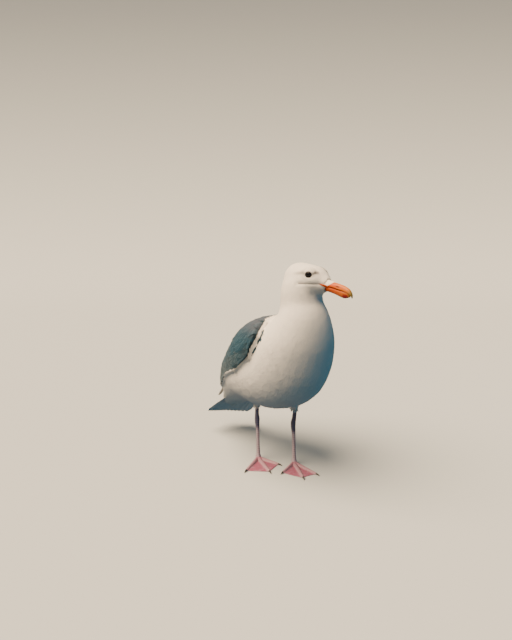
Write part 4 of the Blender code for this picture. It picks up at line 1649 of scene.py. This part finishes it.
vane_piece(
    "tail_feathers", laid, sizes, tail_finish, FLIGHT_THICKNESS, ("tail",)
)

# %% [markdown]
# ## The bill
# The bill is horn: smooth, a little glossy and coloured in soft patches, with a hooked tip, a
# slit for the nostril and a red spot near the end of the lower half. Its colours follow its own
# shape, so every corner carries its place along the bill and its share of the way from the
# cutting edge to the ridge. The halves are lofted from rings with bridge_loops.

# %% Rings of the bill
# In the head's frame: forward, ridge, cutting edge, half width.
BILL_UPPER = (
    (0.0180, 0.0076, -0.0008, 0.0078),
    (0.0260, 0.0076, -0.0006, 0.0070),
    (0.0380, 0.0075, -0.0008, 0.0057),
    (0.0500, 0.0070, -0.0012, 0.0049),
    (0.0590, 0.0052, -0.0020, 0.0043),
    (0.0652, 0.0020, -0.0036, 0.0034),
    (0.0688, -0.0026, -0.0066, 0.0022),
    (0.0697, -0.0064, -0.0088, 0.0011),
)
BILL_LOWER = (
    (0.0180, -0.0088, -0.0008, 0.0071),
    (0.0260, -0.0090, -0.0006, 0.0061),
    (0.0380, -0.0096, -0.0008, 0.0050),
    (0.0480, -0.0111, -0.0010, 0.0044),
    (0.0560, -0.0117, -0.0013, 0.0040),
    (0.0620, -0.0097, -0.0020, 0.0030),
    (0.0660, -0.0074, -0.0036, 0.0014),
)
BILL_SIDES = 22
BILL_SPANS = 5
BILL_FULLNESS = 0.82
NOSTRIL = (0.0435, 0.0030)
NOSTRIL_REACH = (0.0036, 0.0010)
NOSTRIL_DEPTH = 0.0007


def smooth_rows(rows, spans):
    """Rows of numbers read from a smooth curve through the given rows."""
    rows = np.array(rows)
    padded = np.vstack([rows[0], rows, rows[-1]])
    read = []
    for i in range(len(rows) - 1):
        a, b, c, d = padded[i : i + 4]
        for t in np.arange(spans) / spans:
            read.append(
                b + 0.5 * t * (c - a + t * (2 * a - 5 * b + 4 * c - d + t * (3 * (b - c) + d - a)))
            )
    read.append(rows[-1])
    return np.array(read)


def loft(rings, capped=True):
    """A skin over rings of points, bridged one to the next and, if asked, closed at the ends."""
    shape = bmesh.new()
    loops = []
    for ring in rings:
        verts = [shape.verts.new(point) for point in ring]
        loops.append([shape.edges.new((verts[k - 1], verts[k])) for k in range(len(verts))])
    for near, far in zip(loops, loops[1:]):
        bmesh.ops.bridge_loops(shape, edges=near + far)
    if capped:
        bmesh.ops.contextual_create(shape, geom=loops[0])
        bmesh.ops.contextual_create(shape, geom=loops[-1])
    bmesh.ops.recalc_face_normals(shape, faces=shape.faces)
    return shape


def make_bill(name, rows, replaced):
    rings = []
    horn = []
    for forward, ridge, edge, half_width in smooth_rows(rows, BILL_SPANS):
        ring = []
        for k in range(BILL_SIDES + 1):
            bend = math.pi * k / BILL_SIDES
            share = math.sin(bend) ** BILL_FULLNESS
            height = edge + (ridge - edge) * share
            out = half_width * math.cos(bend)
            near = ((forward - NOSTRIL[0]) / NOSTRIL_REACH[0]) ** 2
            near += ((height - NOSTRIL[1]) / NOSTRIL_REACH[1]) ** 2
            out -= math.copysign(NOSTRIL_DEPTH * math.exp(-near), out)
            ring.append(in_head(forward, height, out))
            horn.append((forward, height, share))
        rings.append(ring)
    bill = new_piece(name, loft(rings), "bill", replaced)
    add_values(bill.data, "horn", horn)
    finish_shape(bill, finer=1)
    return bill


upper_bill = make_bill("upper_bill", BILL_UPPER, "bill_upper")
lower_bill = make_bill("lower_bill", BILL_LOWER, "bill_lower")
print("bill faces:", len(upper_bill.data.polygons) + len(lower_bill.data.polygons))

# %% Horn finish
HORN = (0.60, 0.080, 0.002)
HORN_PALE = (0.62, 0.170, 0.012)
HORN_DEEP = (0.26, 0.014, 0.001)
HORN_TIP = (0.22, 0.15, 0.040)
SPOT_RED = (0.24, 0.001, 0.006)
NOSTRIL_SHADE = (0.06, 0.015, 0.010)
PALE_FROM = (0.030, 0.066)  # forward, in the head's frame
TIP_FROM = (0.0600, 0.0680)
SPOT_AT = 0.0585
SPOT_FADE = (0.0022, 0.0062)  # distances from it over which the red fades


def make_horn(name, lower):
    made = new_material(name, HORN, 0.36, Specular_IOR_Level=0.25)
    tools = Nodes(made.node_tree)
    forward, height, share = tools.split(tools.attribute("horn"))
    streaks = tools.add(
        "ShaderNodeMapping", {"Vector": tools.attribute("horn"), "Scale": (60.0, 900.0, 6.0)}
    ).outputs[0]
    grain = tools.noise(streaks, 1.0, 4.0)
    colour = tools.mix(tools.step(forward, *PALE_FROM), HORN, HORN_PALE)
    colour = tools.mix(tools.times(tools.step(grain, 0.45, 0.75), 0.55), colour, HORN_DEEP)
    crest = tools.times(tools.step(share, 0.72, 1.0), 0.0 if lower else 0.40)
    colour = tools.mix(crest, colour, HORN_PALE)
    seam = tools.opposite(tools.step(share, 0.02, 0.20))
    colour = tools.mix(tools.times(seam, 0.75), colour, HORN_DEEP)
    colour = tools.mix(tools.step(forward, *TIP_FROM), colour, HORN_TIP)
    if lower:
        from_spot = tools.maths("ABSOLUTE", tools.maths("SUBTRACT", forward, SPOT_AT))
        spot = tools.opposite(tools.step(from_spot, *SPOT_FADE))
        spot = tools.times(spot, tools.step(share, 0.15, 0.60))
        colour = tools.mix(spot, colour, SPOT_RED)
    else:
        # painted shade inside the open slit of the nostril
        along = tools.maths("SUBTRACT", forward, NOSTRIL[0])
        along = tools.maths("DIVIDE", along, NOSTRIL_REACH[0])
        above = tools.maths("SUBTRACT", height, NOSTRIL[1])
        above = tools.maths("DIVIDE", above, NOSTRIL_REACH[1])
        near = tools.maths("MULTIPLY_ADD", along, along, tools.times(above, above))
        slit = tools.opposite(tools.step(near, 0.35, 1.1))
        colour = tools.mix(slit, colour, NOSTRIL_SHADE)
    sockets = shader_of(made)
    tools.set(sockets["Base Color"], colour)
    tools.set(sockets["Roughness"], tools.maths("MULTIPLY_ADD", grain, 0.25, 0.26))
    tools.set(sockets["Normal"], tools.bump(grain, 0.25, 0.0003))
    return made


upper_bill.data.materials.append(make_horn("upper_horn", lower=False))
lower_bill.data.materials.append(make_horn("lower_horn", lower=True))
print("horn finishes ready")

# %% Bare skin at the corner of the mouth
GAPE_RISE = 0.0006
GAPE_GROOVE = 0.0003
GAPE_COLUMNS = 20
GAPE_ROWS = 12
GAPE_WALL = 0.0006
GAPE_BED = 0.0004  # how deep its rim lies in the skin
GAPE_OVER = 0.0010  # how far it runs on under the bill
GAPE_SPREAD = 1.15
GROOVE_HALF = 0.16
GAPE_SINKS = 0.55  # share of the length over which the front runs into the bill
GAPE_SUNK = 0.0022
# How far out the middle of the wedge lies: forward, then x.
GAPE_SIDE = ((0.0180, 0.0140), (0.0215, 0.0114), (0.0250, 0.0085), (0.0290, 0.0062))


def gape_side(forward, inward, sign):
    """How far out the wedge's middle is: on the skin, or on the line above if that is more."""
    stops, reaches = zip(*GAPE_SIDE)
    middle_height = float(gape_middle(forward))
    hit = SKIN_TREE.ray_cast(in_head(forward, middle_height, sign * 0.05), inward)
    out = float(np.interp(forward, stops, reaches))
    if hit[0]:
        out = max(out, abs(seen_from_head(np.array(hit[0])[None])[2][0]))
    return out


def make_gape(side, sign):
    """A narrow wedge that lies on the face and runs into the bill."""
    shape = bmesh.new()
    bmesh.ops.create_grid(shape, x_segments=GAPE_COLUMNS, y_segments=GAPE_ROWS, size=0.5)
    horn = []
    inward = (in_head(0.0, 0.0, 0.0) - in_head(0.0, 0.0, sign)).normalized()
    for vert in shape.verts:
        along = vert.co.x + 0.5
        across = vert.co.y * 2
        forward = GAPE_AHEAD + GAPE_OVER + (GAPE_BACK - GAPE_AHEAD - GAPE_OVER) * along
        height = float(gape_middle(forward)) + across * float(gape_half(forward)) * GAPE_SPREAD
        rise = GAPE_RISE * (1 - abs(across) ** 3) - GAPE_BED
        rise -= GAPE_GROOVE * math.exp(-((across / GROOVE_HALF) ** 2))
        sunk = max(1 - along / GAPE_SINKS, 0.0)
        out = gape_side(forward, inward, sign) + rise - GAPE_SUNK * sunk
        vert.co = in_head(forward, height, sign * out)
        horn.append((forward, height, abs(across) * 0.5))
    bmesh.ops.recalc_face_normals(shape, faces=shape.faces)
    gape = new_piece(f"gape_{side}", shape, "bill")
    add_values(gape.data, "horn", horn)
    finish_shape(gape, wall=GAPE_WALL)
    gape.data.materials.append(bpy.data.materials["upper_horn"])


for side, sign in SIDES.items():
    make_gape(side, sign)
print("gape pieces:", len(SIDES))

# %% [markdown]
# ## Eyes and lids
# A gull's eye is a dark, wet ball in a ring of bare skin. The lids cover most of the ball, so the
# opening is much smaller than the eye. Each ball is a smooth sphere whose pole points outwards,
# which lets its iris be drawn by the angle from that pole. The lids are rings bridged together.

# %% Eyeballs
PUPIL_ANGLE = 0.36  # from the pole, in radians
IRIS_ANGLE = 0.74
PUPIL_BLACK = (0.002, 0.002, 0.003)
IRIS_DARK = (0.005, 0.005, 0.008)
IRIS_BROWN = (0.012, 0.011, 0.016)
EYE_EDGE = (0.010, 0.009, 0.010)

eye_finish = new_material("eye_finish", (0.02, 0.014, 0.010), 0.10, Specular_IOR_Level=0.15)
tools = Nodes(eye_finish.node_tree)
polar = tools.attribute("polar", "Fac")
iris = tools.mix(tools.noise(tools.object_place(), 900.0, 2.0), IRIS_DARK, IRIS_BROWN)
colour = tools.mix(tools.step(polar, PUPIL_ANGLE, PUPIL_ANGLE + 0.03), PUPIL_BLACK, iris)
colour = tools.mix(tools.step(polar, IRIS_ANGLE - 0.10, IRIS_ANGLE), colour, EYE_EDGE)
tools.set(shader_of(eye_finish)["Base Color"], colour)

for side in SIDES:
    ball = bmesh.new()
    bmesh.ops.create_uvsphere(ball, u_segments=40, v_segments=28, radius=BALL_RADIUS)
    polar_angles = [vert.co.angle(Vector((0, 0, 1))) for vert in ball.verts]
    bmesh.ops.transform(ball, matrix=facing(side), verts=ball.verts)
    eye = new_piece(f"eyeball_{side}", ball, "eye", f"eye_{side}")
    add_values(eye.data, "polar", polar_angles)
    eye.data.shade_smooth()
    eye.data.materials.append(eye_finish)
print("eyeballs:", len(SIDES))

# %% Lids
LID_SHARES = (0.0, 0.03, 0.07, 0.13, 0.22, 0.34, 0.48, 0.64, 0.82, 1.0)
LID_TUCK = 0.0004  # how far the rim turns in towards the ball
LID_WALL = 0.0004


def make_lids(side):
    turns = np.arange(LID_SPOKES) * 2 * math.pi / LID_SPOKES
    out = np.array(EYE_AXES[side])
    rings = []
    lid = []
    for share in LID_SHARES:
        ring = on_lids(side, turns, np.full(LID_SPOKES, share))
        if share == 0.0:
            ring = ring - LID_TUCK * out
        rings.append([Vector(point) for point in ring])
        lid += [(share, math.sin(turn) / 2 + 0.5, 0.0) for turn in turns]
    shape = loft(rings, capped=False)
    shape.faces.ensure_lookup_table()
    if shape.faces[len(shape.faces) // 2].normal.dot(EYE_AXES[side]) < 0:
        bmesh.ops.reverse_faces(shape, faces=shape.faces)
    lids = new_piece(f"lids_{side}", shape, "white_plumage")
    add_values(lids.data, "lid", lid)
    finish_shape(lids, wall=LID_WALL, finer=1)
    return lids


LID_RIM_DARK = (0.014, 0.012, 0.016)
LID_PALE = (0.52, 0.50, 0.49)
LID_BROW_SHADE = (0.10, 0.095, 0.11)

lid_finish = new_material("lid_finish", (0.10, 0.10, 0.11), 0.5)
tools = Nodes(lid_finish.node_tree)
step_out, above, _ = tools.split(tools.attribute("lid"))
fold = tools.noise(tools.object_place(), 1400.0, 2.0)
colour = tools.mix(tools.step(step_out, 0.06, 0.15), LID_RIM_DARK, LID_PALE)
# painted shade: the upper lid darker under the brow
brow = tools.times(tools.step(above, 0.60, 0.95), 0.35)
colour = tools.mix(brow, colour, LID_BROW_SHADE)
tools.set(shader_of(lid_finish)["Base Color"], colour)
tools.set(shader_of(lid_finish)["Normal"], tools.bump(fold, 0.4, 0.0003))
for side in SIDES:
    make_lids(side).data.materials.append(lid_finish)
print("lids:", len(SIDES))

# %% [markdown]
# ## Legs, webs and claws
# The bare legs and feet are scaly skin. Shank and foot are two solids, so they are remeshed into
# one surface, as the bird has. Broad scutes run down the front of the shank and over each toe,
# and the web between the toes is thin and finely wrinkled. Scutes and wrinkles are real relief,
# pushed into the mesh along its normals.

# %% One surface for each leg
LEG_VOXEL = 0.00075
LEG_EASE_ROUNDS = 3
# Where the toe joint stands and which way the toes point, in degrees towards +X.
FEET = {
    "right": ((-0.0180, -0.0076), {"middle": -8.0, "outer": -48.0, "inner": 27.0}),
    "left": ((0.0298, -0.0566), {"middle": -16.0, "outer": 11.0, "inner": -56.0}),
}
TOE_LENGTHS = {"middle": 0.062, "outer": 0.059, "inner": 0.046}
TOE_HEIGHT = 0.0027
TOE_RIDGE_WIDTH = 0.0030
SCUTE_LENGTH = 0.0030
SCUTE_DEPTH = 0.00022
SHANK_SCUTE_LENGTH = 0.0036
WEB_WRINKLE = 0.00016
ANKLE_HEIGHT = 0.0745
ANKLE_HALF = 0.007
TOE_PAST = 0.002  # how far the scutes run on past a toe
FOOT_TOP = (0.0105, 0.0060)  # heights between which toes and webs come in
SHANK_BOTTOM = (0.010, 0.016)
SCUTE_WAVER = 0.0007
SCUTE_WAVER_SIZE = 0.006
NET_SIZE = 0.0016  # of the small scales behind the shank
WRINKLE_SIZE = 0.0022
KNOT_SIZE = 0.004
KNOT_DEPTH = 0.00045
SOLE = 0.0004  # no relief below this height


def toe_lines(side):
    """Each toe's line along the floor, from the joint to its tip."""
    (x, y), toes = FEET[side]
    joint = np.array((x, y, TOE_HEIGHT))
    lines = []
    for toe, degrees in toes.items():
        turn = math.radians(degrees)
        way = np.array((math.sin(turn), -math.cos(turn), 0.0))
        lines.append((joint, way, TOE_LENGTHS[toe]))
    return lines


def make_leg(side):
    leg = new_piece(
        f"leg_{side}", welded(f"shank_{side}", f"foot_{side}"), "leg_skin",
        f"shank_{side}", f"foot_{side}",
    )
    remesh(leg, LEG_VOXEL, LEG_EASE_ROUNDS)
    keep_outer_shell(leg)
    places = read_places(leg.data)
    normals = read_normals(leg.data)
    ridge = np.zeros(len(places))
    groove = np.zeros(len(places))
    for joint, way, length in toe_lines(side):
        away = places - joint
        run = away @ way
        off = np.linalg.norm(away - run[:, None] * way, axis=1)
        near = np.exp(-((off / TOE_RIDGE_WIDTH) ** 2)) * ((run > 0) & (run < length + TOE_PAST))
        cut = (0.5 + 0.5 * np.cos(2 * math.pi * run / SCUTE_LENGTH)) ** 6
        groove = np.where(near > ridge, cut * near, groove)
        ridge = np.maximum(ridge, near)
    low = ramp(-places[:, 2], -FOOT_TOP[0], -FOOT_TOP[1])
    ridge *= low
    groove *= low * ramp(normals[:, 2], -0.1, 0.4)
    shank = ramp(places[:, 2], *SHANK_BOTTOM)
    wave = places[:, 2] + SCUTE_WAVER * bumpy(places, SCUTE_WAVER_SIZE)
    front = ramp(-normals[:, 1], -0.2, 0.5)
    cut = (0.5 + 0.5 * np.cos(2 * math.pi * wave / SHANK_SCUTE_LENGTH)) ** 6
    net = ramp(np.abs(bumpy(places, NET_SIZE, 9.0)), 0.0, 0.16)
    groove = np.maximum(groove, shank * (cut * front + (1 - net) * (1 - front) * 0.8))
    web = low * (1 - ridge) * ramp(normals[:, 2], 0.2, 0.7)
    wrinkle = bumpy(places * np.array((1.0, 0.45, 1.0)), WRINKLE_SIZE, 4.0) * web
    knee = np.exp(-(((places[:, 2] - ANKLE_HEIGHT) / ANKLE_HALF) ** 2))
    knots = bumpy(places, KNOT_SIZE, 17.0) * knee * KNOT_DEPTH
    push = -SCUTE_DEPTH * groove + WEB_WRINKLE * wrinkle + knots
    above_floor = places[:, 2] > SOLE
    places = places + normals * (push * above_floor)[:, None]
    places[:, 2] = np.maximum(places[:, 2], 0.0)
    write_places(leg.data, places)
    leg.data.shade_smooth()
    values = np.stack([ridge, groove, web, np.ones(len(places))], axis=1)
    add_colour(leg.data, "leg", values)
    print(leg.name, len(leg.data.polygons), "faces")
    return leg


LEG_PINK = (0.42, 0.36, 0.41)
TOE_PINK = (0.46, 0.27, 0.31)
WEB_PINK = (0.32, 0.085, 0.15)
PATCH_PINK = (0.45, 0.30, 0.38)
# painted shade in the grooves, and the colour of the fine mottle
GROOVE_SHADE_AND_MOTTLE = (0.15, 0.060, 0.070)
ANKLE_DUSK_AND_SHADE = (0.026, 0.052, 0.120)
TIBIA_DUSK_AND_SHADE = (0.026, 0.055, 0.120)
ANKLE_FROM = (0.054, 0.066)  # heights between which the dusky joint colour and painted shade come in
TIBIA_FROM = (0.084, 0.094)

leg_finish = new_material("leg_finish", LEG_PINK, 0.46, Specular_IOR_Level=0.3)
tools = Nodes(leg_finish.node_tree)
ridge, groove, web = tools.split(tools.attribute("leg"))
place = tools.object_place()
height = tools.split(place)[2]
patches = tools.noise(place, 120.0)
fine = tools.noise(place, 700.0, 4.0)
colour = tools.mix(ridge, LEG_PINK, TOE_PINK)
colour = tools.mix(web, colour, WEB_PINK)
colour = tools.mix(tools.times(tools.step(patches, 0.45, 0.8), 0.5), colour, PATCH_PINK)
# dusky joints, and painted shade from the belly above: darker and bluer up the leg
ankle = tools.step(height, *ANKLE_FROM)
colour = tools.mix(tools.times(ankle, 0.97), colour, ANKLE_DUSK_AND_SHADE)
tibia = tools.step(height, *TIBIA_FROM)
colour = tools.mix(tools.times(tibia, 0.7), colour, TIBIA_DUSK_AND_SHADE)
# painted shade in the grooves between scutes and small scales
colour = tools.mix(tools.times(groove, 0.7), colour, GROOVE_SHADE_AND_MOTTLE)
colour = tools.mix(tools.times(fine, 0.20), colour, GROOVE_SHADE_AND_MOTTLE)
sockets = shader_of(leg_finish)
tools.set(sockets["Base Color"], colour)
tools.set(sockets["Roughness"], tools.maths("MULTIPLY_ADD", fine, 0.3, 0.34))
tools.set(sockets["Normal"], tools.bump(fine, 0.35, 0.0004))
for side in SIDES:
    make_leg(side).data.materials.append(leg_finish)

# %% Claws
CLAWS = ("middle", "outer", "inner", "back")
CLAW_DARK = (0.018, 0.016, 0.018)
CLAW_WORN = (0.110, 0.085, 0.075)
claw_finish = new_material("claw_finish", (0.030, 0.026, 0.026), 0.38, Specular_IOR_Level=0.5)
tools = Nodes(claw_finish.node_tree)
wear = tools.noise(tools.object_place(), 480.0)
colour = tools.mix(tools.step(wear, 0.45, 0.75), CLAW_DARK, CLAW_WORN)
tools.set(shader_of(claw_finish)["Base Color"], colour)
for side in SIDES:
    names = [f"claw_{toe}_{side}" for toe in CLAWS]
    claws = new_piece(f"claws_{side}", welded(*names), "claw", *names)
    finish_shape(claws, finer=2)
    claws.data.materials.append(claw_finish)
print("claws:", len(CLAWS) * len(SIDES))
